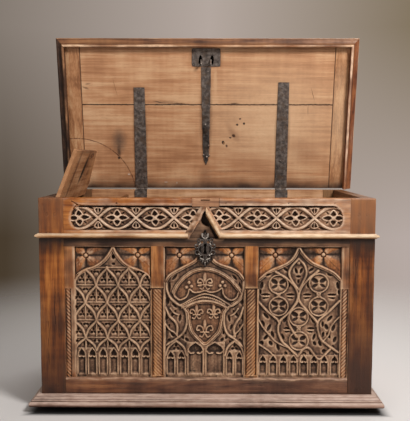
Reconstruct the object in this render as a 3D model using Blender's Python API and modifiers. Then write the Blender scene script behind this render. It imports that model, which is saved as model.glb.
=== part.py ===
"""Joined and carved storage chest with a hinged lid, a till and an iron lock.

Lengths are metres, +Z is up and the carved front faces -Y. Inside this file y is counted
from the front face of the corner stiles and z from the floor; one parent empty then puts
the object's base centre on the origin. The lid stands open, as the chest is shown, with
the till's own lid raised beside it.
"""
import math

import bmesh
import bpy
from mathutils import Vector

# Carcass
BODY_WIDTH = 1.240
BODY_DEPTH = 0.630
RIM_HEIGHT = 0.800
FIT = 0.0003
ARRIS = 0.0015
FRONT_THICKNESS = 0.045
REAR_THICKNESS = 0.035
END_THICKNESS = 0.044
STILE_WIDTH = 0.092
TOP_RAIL_HEIGHT = 0.177
BOTTOM_RAIL_HEIGHT = 0.103
MUNTIN_WIDTH = 0.047
LEFT_MUNTIN_X = -0.183
RIGHT_MUNTIN_X = 0.166
REAR_MUNTIN_WIDTH = 0.080

# Joints in the carcass
TENON_THICKNESS = 0.012
TENON_LENGTH = 0.040
END_TENON_LENGTH = 0.024
TENON_SHOULDER = 0.018
GROOVE_DEPTH = 0.008
TONGUE_THICKNESS = 0.010

# Panels
CARVED_PANEL_THICKNESS = 0.026
CARVED_PANEL_SET_BACK = 0.004
PLAIN_PANEL_THICKNESS = 0.014
PLAIN_PANEL_SET_BACK = 0.012

# Floor boards, bearers and mouldings outside the carcass
BEARER_HEIGHT = 0.022
BEARER_WIDTH = 0.070
BEARER_SET_BACK = 0.016
BEARER_END_INSET = 0.012
FLOOR_BOARD_COUNT = 3
FLOOR_BOARD_THICKNESS = 0.016
FLOOR_BOARD_RISE = 0.030
FLOOR_TONGUE = 0.010
BASE_MOULDING_PROJECTION = 0.040
BASE_MOULDING_HEIGHT = 0.041
STRING_PROJECTION = 0.014
STRING_HEIGHT = 0.018
STRING_DROP = 0.130

# Lid
LID_THICKNESS = 0.026
LID_REST_GAP = 0.0006
LID_OPEN_ANGLE = math.radians(79.0)
LIP_WIDTH = 0.037
LIP_DEPTH = 0.026
LIP_CLEARANCE = 0.003
CLEAT_WIDTH = 0.100
LID_BOARD_JOINT = 0.383
LID_TONGUE = 0.012

# Strap hinges
STRAP_THICKNESS = 0.003
STRAP_ROOT_WIDTH = 0.056
STRAP_TIP_WIDTH = 0.048
STRAP_X = (-0.303, 0.338)
STRAP_LENGTH = (0.459, 0.482)
KNUCKLE_RADIUS = 0.0055
KNUCKLE_CENTRE_WIDTH = 0.022
KNUCKLE_SIDE_WIDTH = 0.014
PIN_RADIUS = 0.0025
TAIL_DROP = 0.120
TAIL_SINK = 0.0035

# Catch on the lid and lock on the carcass
LOCK_X = -0.006
CATCH_PLATE_WIDTH = 0.127
CATCH_PLATE_DEPTH = 0.080
CATCH_PLATE_FRONT = 0.0015
STAPLE_SPACING = 0.042
STAPLE_BAR = 0.005
STAPLE_WIDTH = 0.019
STAPLE_DROP = 0.031
STAPLE_Y = 0.059
CATCH_STRAP_WIDTH = 0.048
CATCH_STRAP_TIP_WIDTH = 0.030
CATCH_STRAP_END = 0.105
LOCK_CASE_WIDTH = 0.124
LOCK_CASE_HEIGHT = 0.226
LOCK_CASE_DEPTH = 0.032
LOCK_CASE_TOP_DROP = 0.010
LOCK_WALL = 0.0025
BOLT_THICKNESS = 0.005
BOLT_TRAVEL = 0.014
BOLT_FINGER = 0.013
BOLT_FINGER_HEIGHT = 0.009
BOLT_RISER = 0.006
BOLT_BAR_HEIGHT = 0.012
BOLT_BAR_DROP = 0.052
KEYHOLE_DROP = 0.172
KEYHOLE_RADIUS = 0.006
KEYHOLE_SLOT_WIDTH = 0.006
KEYHOLE_SLOT_LENGTH = 0.036
ESCUTCHEON_THICKNESS = 0.002
ESCUTCHEON_DROP = 0.186
ESCUTCHEON_HALF_WIDTH = 0.042
ESCUTCHEON_HALF_HEIGHT = 0.072

# Notch over the lock and the block let into the rail above it
NOTCH_APEX_DROP = 0.034
NOTCH_HALF_WIDTH = 0.063
NOTCH_DEPTH = 0.005
BLOCK_X = (-0.054, 0.045)
BLOCK_DROP = 0.030
BLOCK_DEPTH = 0.020
BLOCK_SLOT_LENGTH = 0.034
BLOCK_SLOT_HEIGHT = 0.0045
BLOCK_SLOT_DROP = 0.0045
BLOCK_SLOT_DEPTH = 0.014

# Till at the left end
TILL_LID_WIDTH = 0.205
TILL_LID_THICKNESS = 0.015
TILL_LID_ANGLE = math.radians(68.5)
TILL_PIVOT_INSET = 0.012
TILL_PIVOT_DROP = 0.014
TILL_PIVOT_RADIUS = 0.005
TILL_PIVOT_LENGTH = 0.010
TILL_SLANT_START = 0.055
TILL_SLANT_FRONT = 0.156
TILL_BOARD_THICKNESS = 0.012
TILL_DEPTH = 0.130

# Places worked out from the sizes above
HALF_WIDTH = BODY_WIDTH / 2
INNER_X = HALF_WIDTH - END_THICKNESS
STILE_INNER_X = HALF_WIDTH - STILE_WIDTH
REAR_INNER_Y = BODY_DEPTH - REAR_THICKNESS
BODY_BOTTOM = BEARER_HEIGHT + FIT
TOP_RAIL_BOTTOM = RIM_HEIGHT - TOP_RAIL_HEIGHT
BOTTOM_RAIL_TOP = BODY_BOTTOM + BOTTOM_RAIL_HEIGHT
HINGE_Y = BODY_DEPTH + KNUCKLE_RADIUS + FIT
LID_HALF_WIDTH = HALF_WIDTH + LIP_CLEARANCE + LIP_WIDTH
LID_UNDER = LID_REST_GAP
LID_FRONT_Y = -(LIP_CLEARANCE + LIP_WIDTH)
LID_REAR_Y = BODY_DEPTH
TILL_PIVOT_X = -INNER_X + TILL_PIVOT_INSET
LID_REAR_REACH = (LID_THICKNESS + LID_REST_GAP) * math.sin(LID_OPEN_ANGLE) - (
    HINGE_Y - LID_REAR_Y + ARRIS
) * math.cos(LID_OPEN_ANGLE)
CENTRE_Y = (HINGE_Y + LID_REAR_REACH - BASE_MOULDING_PROJECTION) / 2

FACETS = 24


def clear_scene():
    """Remove every object, mesh and curve of the start-up scene."""
    for obj in list(bpy.data.objects):
        bpy.data.objects.remove(obj, do_unlink=True)
    for mesh in list(bpy.data.meshes):
        bpy.data.meshes.remove(mesh)


def make_material(name, colour, roughness, metallic=0.0):
    """Return a Principled material of one colour."""
    material = bpy.data.materials.new(name)
    material.use_nodes = True
    shader = material.node_tree.nodes["Principled BSDF"]
    shader.inputs["Base Color"].default_value = (*colour, 1.0)
    shader.inputs["Roughness"].default_value = roughness
    shader.inputs["Metallic"].default_value = metallic
    material.diffuse_color = (*colour, 1.0)
    return material


def make_collection(name):
    """Return a new collection linked to the scene."""
    collection = bpy.data.collections.new(name)
    bpy.context.scene.collection.children.link(collection)
    return collection


def make_empty(name, location, rotation=(0.0, 0.0, 0.0), parent=None):
    """Return an empty that carries the pieces parented to it."""
    empty = bpy.data.objects.new(name, None)
    empty.empty_display_size = 0.05
    empty.location = location
    empty.rotation_euler = rotation
    empty.parent = parent
    PARTS.objects.link(empty)
    return empty


def add_object(name, bm, material, parent, arris=0.0, cutter=False):
    """Turn a bmesh into an object whose origin is the middle of its box."""
    bmesh.ops.recalc_face_normals(bm, faces=bm.faces)
    low = Vector(min(v.co[i] for v in bm.verts) for i in range(3))
    high = Vector(max(v.co[i] for v in bm.verts) for i in range(3))
    middle = (low + high) / 2
    bmesh.ops.translate(bm, verts=bm.verts, vec=-middle)
    mesh = bpy.data.meshes.new(name)
    bm.to_mesh(mesh)
    bm.free()
    obj = bpy.data.objects.new(name, mesh)
    obj.location = middle
    obj.parent = parent
    if cutter:
        CUTTERS.objects.link(obj)
        obj.hide_render = True
        obj.display_type = "WIRE"
        return obj
    mesh.materials.append(material)
    PARTS.objects.link(obj)
    if arris:
        bevel = obj.modifiers.new("arris", "BEVEL")
        bevel.width = arris
        bevel.segments = 1
        bevel.limit_method = "ANGLE"
    return obj


def box_bmesh(low, high):
    """Return a bmesh box between two corners."""
    bm = bmesh.new()
    bmesh.ops.create_cube(bm, size=1.0)
    size = Vector(high) - Vector(low)
    bmesh.ops.scale(bm, verts=bm.verts, vec=size)
    bmesh.ops.translate(bm, verts=bm.verts, vec=(Vector(low) + Vector(high)) / 2)
    return bm


def box(name, low, high, material, parent, arris=ARRIS):
    """Add a board or bar between two corners."""
    return add_object(name, box_bmesh(low, high), material, parent, arris)


def box_cutter(name, low, high, parent):
    """Add a box that only cuts or joins."""
    return add_object(name, box_bmesh(low, high), None, parent, cutter=True)


def rod_bmesh(radius, start, end, facets=FACETS):
    """Return a closed cylinder between two points."""
    bm = bmesh.new()
    axis = Vector(end) - Vector(start)
    bmesh.ops.create_cone(
        bm, cap_ends=True, segments=facets, radius1=radius, radius2=radius, depth=axis.length
    )
    turn = Vector((0, 0, 1)).rotation_difference(axis.normalized()).to_matrix()
    bmesh.ops.rotate(bm, verts=bm.verts, cent=(0, 0, 0), matrix=turn)
    bmesh.ops.translate(bm, verts=bm.verts, vec=(Vector(start) + Vector(end)) / 2)
    return bm


def sweep_bmesh(sections):
    """Return a closed run through sections that have the same number of points."""
    bm = bmesh.new()
    face = bm.faces.new([bm.verts.new(point) for point in sections[0]])
    for before, after in zip(sections, sections[1:]):
        region = [face, *face.edges, *face.verts]
        grown = bmesh.ops.extrude_face_region(bm, geom=region)["geom"]
        face = next(item for item in grown if isinstance(item, bmesh.types.BMFace))
        for vert in face.verts:
            nearest = min(range(len(before)), key=lambda i: (Vector(before[i]) - vert.co).length)
            vert.co = after[nearest]
    return bm


def prism_bmesh(outline, y_start, y_end):
    """Return an outline of (x, z) points given a thickness along y."""
    front = [(x, y_start, z) for x, z in outline]
    rear = [(x, y_end, z) for x, z in outline]
    return sweep_bmesh([front, rear])


def boolean(obj, cutter, operation):
    """Cut a piece with a cutter, or join the cutter's shape to it."""
    modifier = obj.modifiers.new(cutter.name, "BOOLEAN")
    modifier.operation = operation
    modifier.solver = "EXACT"
    modifier.object = cutter


def grow(low, high, amount):
    """Return a box's corners moved outwards."""
    step = Vector((amount, amount, amount))
    return Vector(low) - step, Vector(high) + step


def tongued(piece, name, low, high, housings, parent):
    """Join a tenon or tongue to a piece and cut its housing in the pieces that take it."""
    boolean(piece, box_cutter(f"{name}_tongue", low, high, parent), "UNION")
    housing = box_cutter(f"{name}_housing", *grow(low, high, FIT), parent)
    for taker in housings:
        boolean(taker, housing, "DIFFERENCE")


# Carcass frames


def add_stiles(parent):
    """Add the four corner stiles; returns them by place."""
    stiles = {}
    for side, sign in (("left", -1), ("right", 1)):
        for place, y_low, y_high in (
            ("front", 0.0, FRONT_THICKNESS),
            ("rear", REAR_INNER_Y, BODY_DEPTH),
        ):
            x_low, x_high = sorted((sign * STILE_INNER_X, sign * HALF_WIDTH))
            stiles[place, side] = box(
                f"{place}_stile_{side}",
                (x_low, y_low, BODY_BOTTOM),
                (x_high, y_high, RIM_HEIGHT),
                OAK_DARK,
                parent,
            )
    return stiles


def add_cross_rail(name, y_low, y_high, z_low, z_high, stiles, parent):
    """Add a rail along x between two stiles, tenoned into both."""
    reach = STILE_INNER_X - FIT
    rail = box(name, (-reach, y_low, z_low), (reach, y_high, z_high), OAK_DARK, parent)
    y_mid = (y_low + y_high) / 2
    for side, sign in (("left", -1), ("right", 1)):
        x_pair = sorted((sign * (reach - TENON_SHOULDER), sign * (STILE_INNER_X + TENON_LENGTH)))
        low = (x_pair[0], y_mid - TENON_THICKNESS / 2, z_low + TENON_SHOULDER)
        high = (x_pair[1], y_mid + TENON_THICKNESS / 2, z_high - TENON_SHOULDER)
        tongued(rail, f"{name}_{side}", low, high, [stiles[side]], parent)
    return rail


def add_end_rail(name, sign, z_low, z_high, front_stile, rear_stile, parent):
    """Add a rail along y at one end, tenoned into the front and rear stiles."""
    x_low, x_high = sorted((sign * INNER_X, sign * HALF_WIDTH))
    y_low = FRONT_THICKNESS + FIT
    y_high = REAR_INNER_Y - FIT
    rail = box(name, (x_low, y_low, z_low), (x_high, y_high, z_high), OAK_DARK, parent)
    x_mid = (x_low + x_high) / 2
    for label, taker, y_pair in (
        ("front", front_stile, (FRONT_THICKNESS - END_TENON_LENGTH, y_low + TENON_SHOULDER)),
        ("rear", rear_stile, (y_high - TENON_SHOULDER, REAR_INNER_Y + END_TENON_LENGTH)),
    ):
        low = (x_mid - TENON_THICKNESS / 2, y_pair[0], z_low + TENON_SHOULDER)
        high = (x_mid + TENON_THICKNESS / 2, y_pair[1], z_high - TENON_SHOULDER)
        tongued(rail, f"{name}_{label}", low, high, [taker], parent)
    return rail


def add_muntin(name, x_mid, width, y_low, y_high, rails, parent):
    """Add an upright between two rails, tenoned into both."""
    z_low = BOTTOM_RAIL_TOP + FIT
    z_high = TOP_RAIL_BOTTOM - FIT
    half = width / 2
    muntin = box(
        name, (x_mid - half, y_low, z_low), (x_mid + half, y_high, z_high), OAK_DARK, parent
    )
    y_mid = (y_low + y_high) / 2
    tenon_half = half - TENON_THICKNESS
    for label, rail, z_pair in (
        ("foot", rails[0], (BOTTOM_RAIL_TOP - TENON_LENGTH, z_low + TENON_SHOULDER)),
        ("head", rails[1], (z_high - TENON_SHOULDER, TOP_RAIL_BOTTOM + TENON_LENGTH)),
    ):
        low = (x_mid - tenon_half, y_mid - TENON_THICKNESS / 2, z_pair[0])
        high = (x_mid + tenon_half, y_mid + TENON_THICKNESS / 2, z_pair[1])
        tongued(muntin, f"{name}_{label}", low, high, [rail], parent)
    return muntin


def add_panel(name, x_pair, y_low, thickness, takers, parent, material):
    """Add a panel facing y, its tongue housed in the members round it."""
    z_low = BOTTOM_RAIL_TOP
    z_high = TOP_RAIL_BOTTOM
    low = (x_pair[0] + FIT, y_low, z_low + FIT)
    high = (x_pair[1] - FIT, y_low + thickness, z_high - FIT)
    panel = box(name, low, high, material, parent, arris=0.0)
    y_mid = y_low + thickness / 2
    tongue_low = (x_pair[0] - GROOVE_DEPTH, y_mid - TONGUE_THICKNESS / 2, z_low - GROOVE_DEPTH)
    tongue_high = (x_pair[1] + GROOVE_DEPTH, y_mid + TONGUE_THICKNESS / 2, z_high + GROOVE_DEPTH)
    tongued(panel, name, tongue_low, tongue_high, takers, parent)
    return panel


def add_end_panel(name, sign, takers, parent):
    """Add the plain panel of one end, its tongue housed in the members round it."""
    outer = HALF_WIDTH - PLAIN_PANEL_SET_BACK
    inner = outer - PLAIN_PANEL_THICKNESS
    x_low, x_high = sorted((sign * inner, sign * outer))
    z_low = BOTTOM_RAIL_TOP
    z_high = TOP_RAIL_BOTTOM
    low = (x_low, FRONT_THICKNESS + FIT, z_low + FIT)
    high = (x_high, REAR_INNER_Y - FIT, z_high - FIT)
    panel = box(name, low, high, OAK_DARK, parent, arris=0.0)
    x_mid = (x_low + x_high) / 2
    half = TONGUE_THICKNESS / 2
    tongue_low = (x_mid - half, FRONT_THICKNESS - GROOVE_DEPTH, z_low - GROOVE_DEPTH)
    tongue_high = (x_mid + half, REAR_INNER_Y + GROOVE_DEPTH, z_high + GROOVE_DEPTH)
    tongued(panel, name, tongue_low, tongue_high, takers, parent)


# Carving of the front panels, in millimetres from the chest's middle and down from its rim

LIGHT_DEPTH = 0.0125
SHIELD_DEPTH = 0.0070
CORNER_DEPTH = 0.0035
RIB_WIDTH = 5.0
LIGHT_FOOT = -668.0
LIGHT_SHOULDER = 18.0
STAR_SPACING = 81.5
STAR_ROW = 66.0
STAR_FIELD = (-486.5, -210.5)
STAR_CORNERS = (
    ((-485, -185), (-358, -185), (-372, -208), (-390, -229), (-420, -248), (-452, -259), (-485, -275)),
    ((-212, -185), (-336, -185), (-326, -204), (-308, -228), (-282, -246), (-248, -261), (-212, -284)),
)
STAR_HEAD = ((-347, -214), (-364, -240), (-368, -256), (-331, -318), (-292, -262), (-318, -244))
CROWN = (
    (-116, -349), (-104, -328), (-82, -303), (-48, -280), (-7, -271), (34, -279), (74, -302),
    (104, -331), (118, -350), (108, -367), (94, -376), (78, -370), (66, -358), (60, -330),
    (38, -341), (14, -345), (-7, -339), (-28, -345), (-50, -345), (-66, -333), (-72, -356),
    (-80, -366), (-100, -374), (-113, -364),
)
SHIELD = (
    (-41, -399), (-71, -415), (-62, -432), (-58, -470), (-49, -499), (-28, -523), (-7, -543),
    (18, -522), (38, -499), (48, -470), (54, -431), (63, -414), (34, -399), (-5, -393),
)
SHIELD_CORNERS = (
    ((-152, -185), (-34, -185), (-46, -218), (-60, -231), (-100, -254), (-138, -276), (-152, -294)),
    ((136, -185), (20, -185), (32, -218), (54, -238), (92, -254), (120, -270), (136, -286)),
)
SHIELD_SIDES = (
    ((-150, -320), (-134, -298), (-95, -274), (-56, -254), (-50, -262), (-88, -288), (-116, -320),
     (-131, -352), (-150, -360)),
    ((136, -310), (118, -290), (88, -272), (48, -257), (40, -264), (82, -287), (117, -322),
     (133, -350), (136, -362)),
    ((-150, -372), (-131, -366), (-126, -384), (-104, -402), (-84, -432), (-82, -474),
     (-97, -507), (-120, -525), (-150, -540)),
    ((136, -372), (128, -384), (108, -402), (90, -410), (74, -436), (73, -474), (86, -506),
     (108, -523), (136, -543)),
)
FLAME_CORNERS = (
    ((196, -185), (336, -185), (318, -212), (298, -230), (264, -248), (228, -266), (196, -288)),
    ((495, -185), (346, -185), (362, -204), (390, -227), (432, -248), (470, -266), (495, -284)),
)
FLAME_LIGHTS = (
    ((341, -235), (324, -254), (313, -278), (322, -302), (343, -332), (357, -302), (364, -278),
     (356, -254)),
    ((262, -283), (298, -307), (328, -342), (331, -376), (305, -418), (268, -448), (232, -420),
     (199, -384), (199, -305), (230, -285)),
    ((409, -281), (376, -308), (356, -343), (352, -380), (383, -419), (414, -452), (450, -420),
     (492, -378), (492, -308), (458, -284)),
    ((343, -391), (374, -427), (404, -465), (411, -495), (421, -529), (446, -556), (420, -580),
     (380, -578), (342, -586), (310, -556), (288, -533), (275, -495), (283, -463), (312, -432)),
    ((199, -396), (226, -429), (258, -458), (258, -495), (272, -534), (284, -556), (262, -574),
     (199, -574)),
    ((492, -394), (458, -428), (428, -460), (424, -492), (434, -524), (462, -550), (492, -566)),
)


def pointed_light(x_low, x_high, head):
    """Return the outline of a narrow pointed light between two ribs."""
    x_low += RIB_WIDTH / 2
    x_high -= RIB_WIDTH / 2
    shoulder = head - LIGHT_SHOULDER
    return (
        (x_low, LIGHT_FOOT),
        (x_high, LIGHT_FOOT),
        (x_high, shoulder),
        ((x_low + x_high) / 2, head),
        (x_low, shoulder),
    )


def light_row(x_low, x_high, count, head):
    """Return the outlines of a row of equal lights."""
    step = (x_high - x_low) / count
    return [pointed_light(x_low + k * step, x_low + (k + 1) * step, head) for k in range(count)]


def trimmed(outline, axis, limit, sign):
    """Return the part of an outline on one side of a straight line."""
    kept = []
    for start, end in zip(outline, outline[1:] + outline[:1]):
        start_in = sign * (start[axis] - limit) >= 0
        end_in = sign * (end[axis] - limit) >= 0
        if start_in:
            kept.append(start)
        if start_in != end_in:
            share = (limit - start[axis]) / (end[axis] - start[axis])
            kept.append(tuple(s + share * (e - s) for s, e in zip(start, end)))
    return kept


def star_cells():
    """Return the outlines of the diamond cells between the stars' ribs."""
    wide = STAR_SPACING / 2 - RIB_WIDTH * 0.75
    tall = STAR_ROW - RIB_WIDTH * 1.2
    cells = []
    for row in range(4):
        z_mid = -325.0 - STAR_ROW * row
        x_first = -453.0 if row % 2 == 0 else -493.7
        for k in range(4):
            x_mid = x_first + STAR_SPACING * k
            cell = [
                (x_mid, z_mid + tall), (x_mid + wide, z_mid), (x_mid, z_mid - tall), (x_mid - wide, z_mid)
            ]
            cell = trimmed(cell, 0, STAR_FIELD[0], 1)
            cell = trimmed(cell, 0, STAR_FIELD[1], -1)
            cell = trimmed(cell, 1, -280.0 if row == 0 and k in (0, 3) else -263.0, -1)
            cell = trimmed(cell, 1, -565.0, 1)
            if len(cell) > 2:
                cells.append(cell)
    return cells


def carve_panel(panel, name, depth, outlines, parent):
    """Sink outlines into a front panel's face."""
    bm = bmesh.new()
    y_front = CARVED_PANEL_SET_BACK
    for outline in outlines:
        points = [(x / 1000, RIM_HEIGHT + z / 1000) for x, z in outline]
        part = prism_bmesh(points, y_front - 0.003, y_front + depth)
        mesh = bpy.data.meshes.new(name)
        part.to_mesh(mesh)
        part.free()
        bm.from_mesh(mesh)
        bpy.data.meshes.remove(mesh)
    boolean(panel, add_object(name, bm, None, parent, cutter=True), "DIFFERENCE")


def carve_front(panels, parent):
    """Carve the main lights, ribs, crown and shield of the three front panels."""
    stars = [*star_cells(), STAR_HEAD, *light_row(-489.0, -208.0, 7, -570.0)]
    carve_panel(panels["left"], "carving_stars", LIGHT_DEPTH, stars, parent)
    carve_panel(panels["left"], "carving_star_corners", CORNER_DEPTH, STAR_CORNERS, parent)
    sides = [
        *SHIELD_SIDES,
        *light_row(-154.0, -75.0, 2, -562.0),
        *light_row(-75.0, 69.0, 2, -546.0),
        *light_row(69.0, 140.0, 2, -562.0),
    ]
    carve_panel(panels["centre"], "carving_lights", LIGHT_DEPTH, sides, parent)
    carve_panel(panels["centre"], "carving_shield", SHIELD_DEPTH, (CROWN, SHIELD), parent)
    carve_panel(panels["centre"], "carving_shield_corners", CORNER_DEPTH, SHIELD_CORNERS, parent)
    flames = [*FLAME_LIGHTS, *light_row(192.0, 499.0, 8, -588.0)]
    carve_panel(panels["right"], "carving_flames", LIGHT_DEPTH, flames, parent)
    carve_panel(panels["right"], "carving_flame_corners", CORNER_DEPTH, FLAME_CORNERS, parent)


def add_front(stiles, parent):
    """Add the carved front's rails, muntins and panels; returns the rails and middle panel."""
    pair = {"left": stiles["front", "left"], "right": stiles["front", "right"]}
    top = add_cross_rail(
        "front_top_rail", 0.0, FRONT_THICKNESS, TOP_RAIL_BOTTOM, RIM_HEIGHT, pair, parent
    )
    bottom = add_cross_rail(
        "front_bottom_rail", 0.0, FRONT_THICKNESS, BODY_BOTTOM, BOTTOM_RAIL_TOP, pair, parent
    )
    muntins = {}
    for side, x_mid in (("left", LEFT_MUNTIN_X), ("right", RIGHT_MUNTIN_X)):
        muntins[side] = add_muntin(
            f"front_muntin_{side}", x_mid, MUNTIN_WIDTH, 0.0, FRONT_THICKNESS, (bottom, top), parent
        )
    half = MUNTIN_WIDTH / 2
    bays = (
        ("left", -STILE_INNER_X, LEFT_MUNTIN_X - half, (pair["left"], muntins["left"])),
        ("centre", LEFT_MUNTIN_X + half, RIGHT_MUNTIN_X - half, tuple(muntins.values())),
        ("right", RIGHT_MUNTIN_X + half, STILE_INNER_X, (muntins["right"], pair["right"])),
    )
    panels = {}
    for bay, x_low, x_high, uprights in bays:
        panels[bay] = add_panel(
            f"front_panel_{bay}",
            (x_low, x_high),
            CARVED_PANEL_SET_BACK,
            CARVED_PANEL_THICKNESS,
            (top, bottom, *uprights),
            parent,
            OAK_CARVED,
        )
    carve_front(panels, parent)
    return top, bottom, panels["centre"]


def add_rear(stiles, parent):
    """Add the plain rear frame and its two panels; returns the rails."""
    pair = {"left": stiles["rear", "left"], "right": stiles["rear", "right"]}
    top = add_cross_rail(
        "rear_top_rail", REAR_INNER_Y, BODY_DEPTH, TOP_RAIL_BOTTOM, RIM_HEIGHT, pair, parent
    )
    bottom = add_cross_rail(
        "rear_bottom_rail", REAR_INNER_Y, BODY_DEPTH, BODY_BOTTOM, BOTTOM_RAIL_TOP, pair, parent
    )
    muntin = add_muntin(
        "rear_muntin", 0.0, REAR_MUNTIN_WIDTH, REAR_INNER_Y, BODY_DEPTH, (bottom, top), parent
    )
    panel_y = BODY_DEPTH - PLAIN_PANEL_SET_BACK - PLAIN_PANEL_THICKNESS
    for side, sign in (("left", -1), ("right", 1)):
        x_pair = sorted((sign * STILE_INNER_X, sign * REAR_MUNTIN_WIDTH / 2))
        add_panel(
            f"rear_panel_{side}",
            x_pair,
            panel_y,
            PLAIN_PANEL_THICKNESS,
            (top, bottom, muntin, pair[side]),
            parent,
            OAK_DARK,
        )
    return top, bottom


def add_ends(stiles, parent):
    """Add both end frames and their panels."""
    for side, sign in (("left", -1), ("right", 1)):
        front = stiles["front", side]
        rear = stiles["rear", side]
        top = add_end_rail(
            f"end_top_rail_{side}", sign, TOP_RAIL_BOTTOM, RIM_HEIGHT, front, rear, parent
        )
        bottom = add_end_rail(
            f"end_bottom_rail_{side}", sign, BODY_BOTTOM, BOTTOM_RAIL_TOP, front, rear, parent
        )
        add_end_panel(f"end_panel_{side}", sign, (front, rear, top, bottom), parent)


def add_floor(takers, parent):
    """Add the floor boards, housed in the members in front of and behind them."""
    z_low = BODY_BOTTOM + FLOOR_BOARD_RISE
    z_high = z_low + FLOOR_BOARD_THICKNESS
    reach = INNER_X - FIT
    pitch = 2 * reach / FLOOR_BOARD_COUNT
    low_y = FRONT_THICKNESS - FLOOR_TONGUE
    high_y = REAR_INNER_Y + FLOOR_TONGUE
    for index in range(FLOOR_BOARD_COUNT):
        x_low = -reach + index * pitch
        box(
            f"floor_board_{index + 1}",
            (x_low + FIT / 2, low_y, z_low),
            (x_low + pitch - FIT / 2, high_y, z_high),
            OAK_LIGHT,
            parent,
        )
    housing = box_cutter(
        "floor_housing",
        *grow((-reach, low_y, z_low), (reach, high_y, z_high), FIT),
        parent,
    )
    for taker in takers:
        boolean(taker, housing, "DIFFERENCE")


def add_bearers(parent):
    """Add the two bearers that the carcass stands on."""
    reach = HALF_WIDTH - BEARER_END_INSET
    rear_low = BODY_DEPTH - BEARER_SET_BACK - BEARER_WIDTH
    for place, y_low in (("front", BEARER_SET_BACK), ("rear", rear_low)):
        box(
            f"bearer_{place}",
            (-reach, y_low, 0.0),
            (reach, y_low + BEARER_WIDTH, BEARER_HEIGHT),
            OAK_DARK,
            parent,
        )


# Mouldings


def base_profile():
    """Return the base moulding's section as (outwards, up) points."""
    out = BASE_MOULDING_PROJECTION
    up = BASE_MOULDING_HEIGHT
    return (
        (FIT, 0.0),
        (out * 0.86, 0.0),
        (out * 0.97, up * 0.15),
        (out, up * 0.30),
        (out * 0.95, up * 0.45),
        (out * 0.80, up * 0.52),
        (out * 0.80, up * 0.62),
        (out * 0.58, up * 0.70),
        (out * 0.44, up * 0.86),
        (out * 0.20, up),
        (FIT, up),
    )


def string_profile():
    """Return the string moulding's section as (outwards, up) points, from its top."""
    out = STRING_PROJECTION
    down = STRING_HEIGHT
    return (
        (FIT, -down),
        (out * 0.25, -down),
        (out * 0.55, -down * 0.72),
        (out, -down * 0.62),
        (out, -down * 0.30),
        (out * 0.45, -down * 0.12),
        (FIT, 0.0),
    )


def lip_profile():
    """Return the lid lip's section as (outwards, down) points, from the carcass side."""
    out = LIP_WIDTH
    down = LIP_DEPTH
    return (
        (0.0, FIT),
        (0.0, down * 0.90),
        (out * 0.07, down),
        (out * 0.25, down),
        (out * 0.34, down * 0.88),
        (out * 0.38, down * 0.66),
        (out * 0.55, down * 0.46),
        (out * 0.80, down * 0.38),
        (out * 0.88, down * 0.22),
        (out, down * 0.16),
        (out, FIT),
    )


def front_run(profile, x_start, x_end, z_base, z_sign, offset):
    """Return two sections of a front moulding whose ends are mitred where they pass a corner."""
    sections = []
    for x_place, mitre in (x_start, x_end):
        sections.append(
            [(x_place + mitre * (o + offset), -(o + offset), z_base + z_sign * u) for o, u in profile]
        )
    return sections


def end_run(profile, sign, z_base, z_sign, offset):
    """Return two sections of an end moulding, mitred at the front and square at the rear."""
    front = []
    rear = []
    for out, up in profile:
        x = sign * (HALF_WIDTH + offset + out)
        front.append((x, -(offset + out) + FIT, z_base + z_sign * up))
        rear.append((x, BODY_DEPTH, z_base + z_sign * up))
    return [front, rear]


def add_base_mouldings(parent):
    """Add the base moulding along the front and both ends."""
    profile = base_profile()
    reach = HALF_WIDTH - FIT
    sections = front_run(profile, (-reach, -1), (reach, 1), BODY_BOTTOM, 1, 0.0)
    add_object("base_moulding_front", sweep_bmesh(sections), OAK_DARK, parent)
    for side, sign in (("left", -1), ("right", 1)):
        bm = sweep_bmesh(end_run(profile, sign, BODY_BOTTOM, 1, 0.0))
        add_object(f"base_moulding_{side}", bm, OAK_DARK, parent)


def add_string_mouldings(parent):
    """Add the string moulding, which climbs the right side of the notch over the lock."""
    profile = string_profile()
    top = RIM_HEIGHT - STRING_DROP
    reach = HALF_WIDTH - FIT
    left_end = LOCK_X - NOTCH_HALF_WIDTH
    sections = front_run(profile, (-reach, -1), (left_end, 0), top, 1, 0.0)
    add_object("string_moulding_front_left", sweep_bmesh(sections), OAK_LIGHT, parent)

    foot_x = LOCK_X + NOTCH_HALF_WIDTH
    apex_z = RIM_HEIGHT - NOTCH_APEX_DROP
    rise = Vector((LOCK_X - foot_x, apex_z - top))
    along = rise.normalized()
    across = Vector((along.y, -along.x))
    bisector = (across + Vector((0, 1))).normalized()
    mitre_length = 1 / bisector.dot(Vector((0, 1)))
    apex = [(LOCK_X + across.x * u, -o, apex_z + across.y * u) for o, u in profile]
    foot = [
        (foot_x + bisector.x * u * mitre_length, -o, top + bisector.y * u * mitre_length)
        for o, u in profile
    ]
    right = [(reach + o, -o, top + u) for o, u in profile]
    add_object(
        "string_moulding_front_right", sweep_bmesh([apex, foot, right]), OAK_LIGHT, parent
    )
    for side, sign in (("left", -1), ("right", 1)):
        bm = sweep_bmesh(end_run(profile, sign, top, 1, 0.0))
        add_object(f"string_moulding_end_{side}", bm, OAK_LIGHT, parent)


# Lid, in the closed place; its parent turns it about the hinge line


def lid_point(y, z_above_rim):
    """Return a closed-lid (y, z) as seen from the hinge line."""
    return y - HINGE_Y, z_above_rim


def lid_box(name, x_pair, y_pair, z_pair, material, parent, arris=ARRIS):
    """Add a lid piece from its closed place."""
    y_low, z_low = lid_point(y_pair[0], z_pair[0])
    y_high, z_high = lid_point(y_pair[1], z_pair[1])
    return box(name, (x_pair[0], y_low, z_low), (x_pair[1], y_high, z_high), material, parent, arris)


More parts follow.
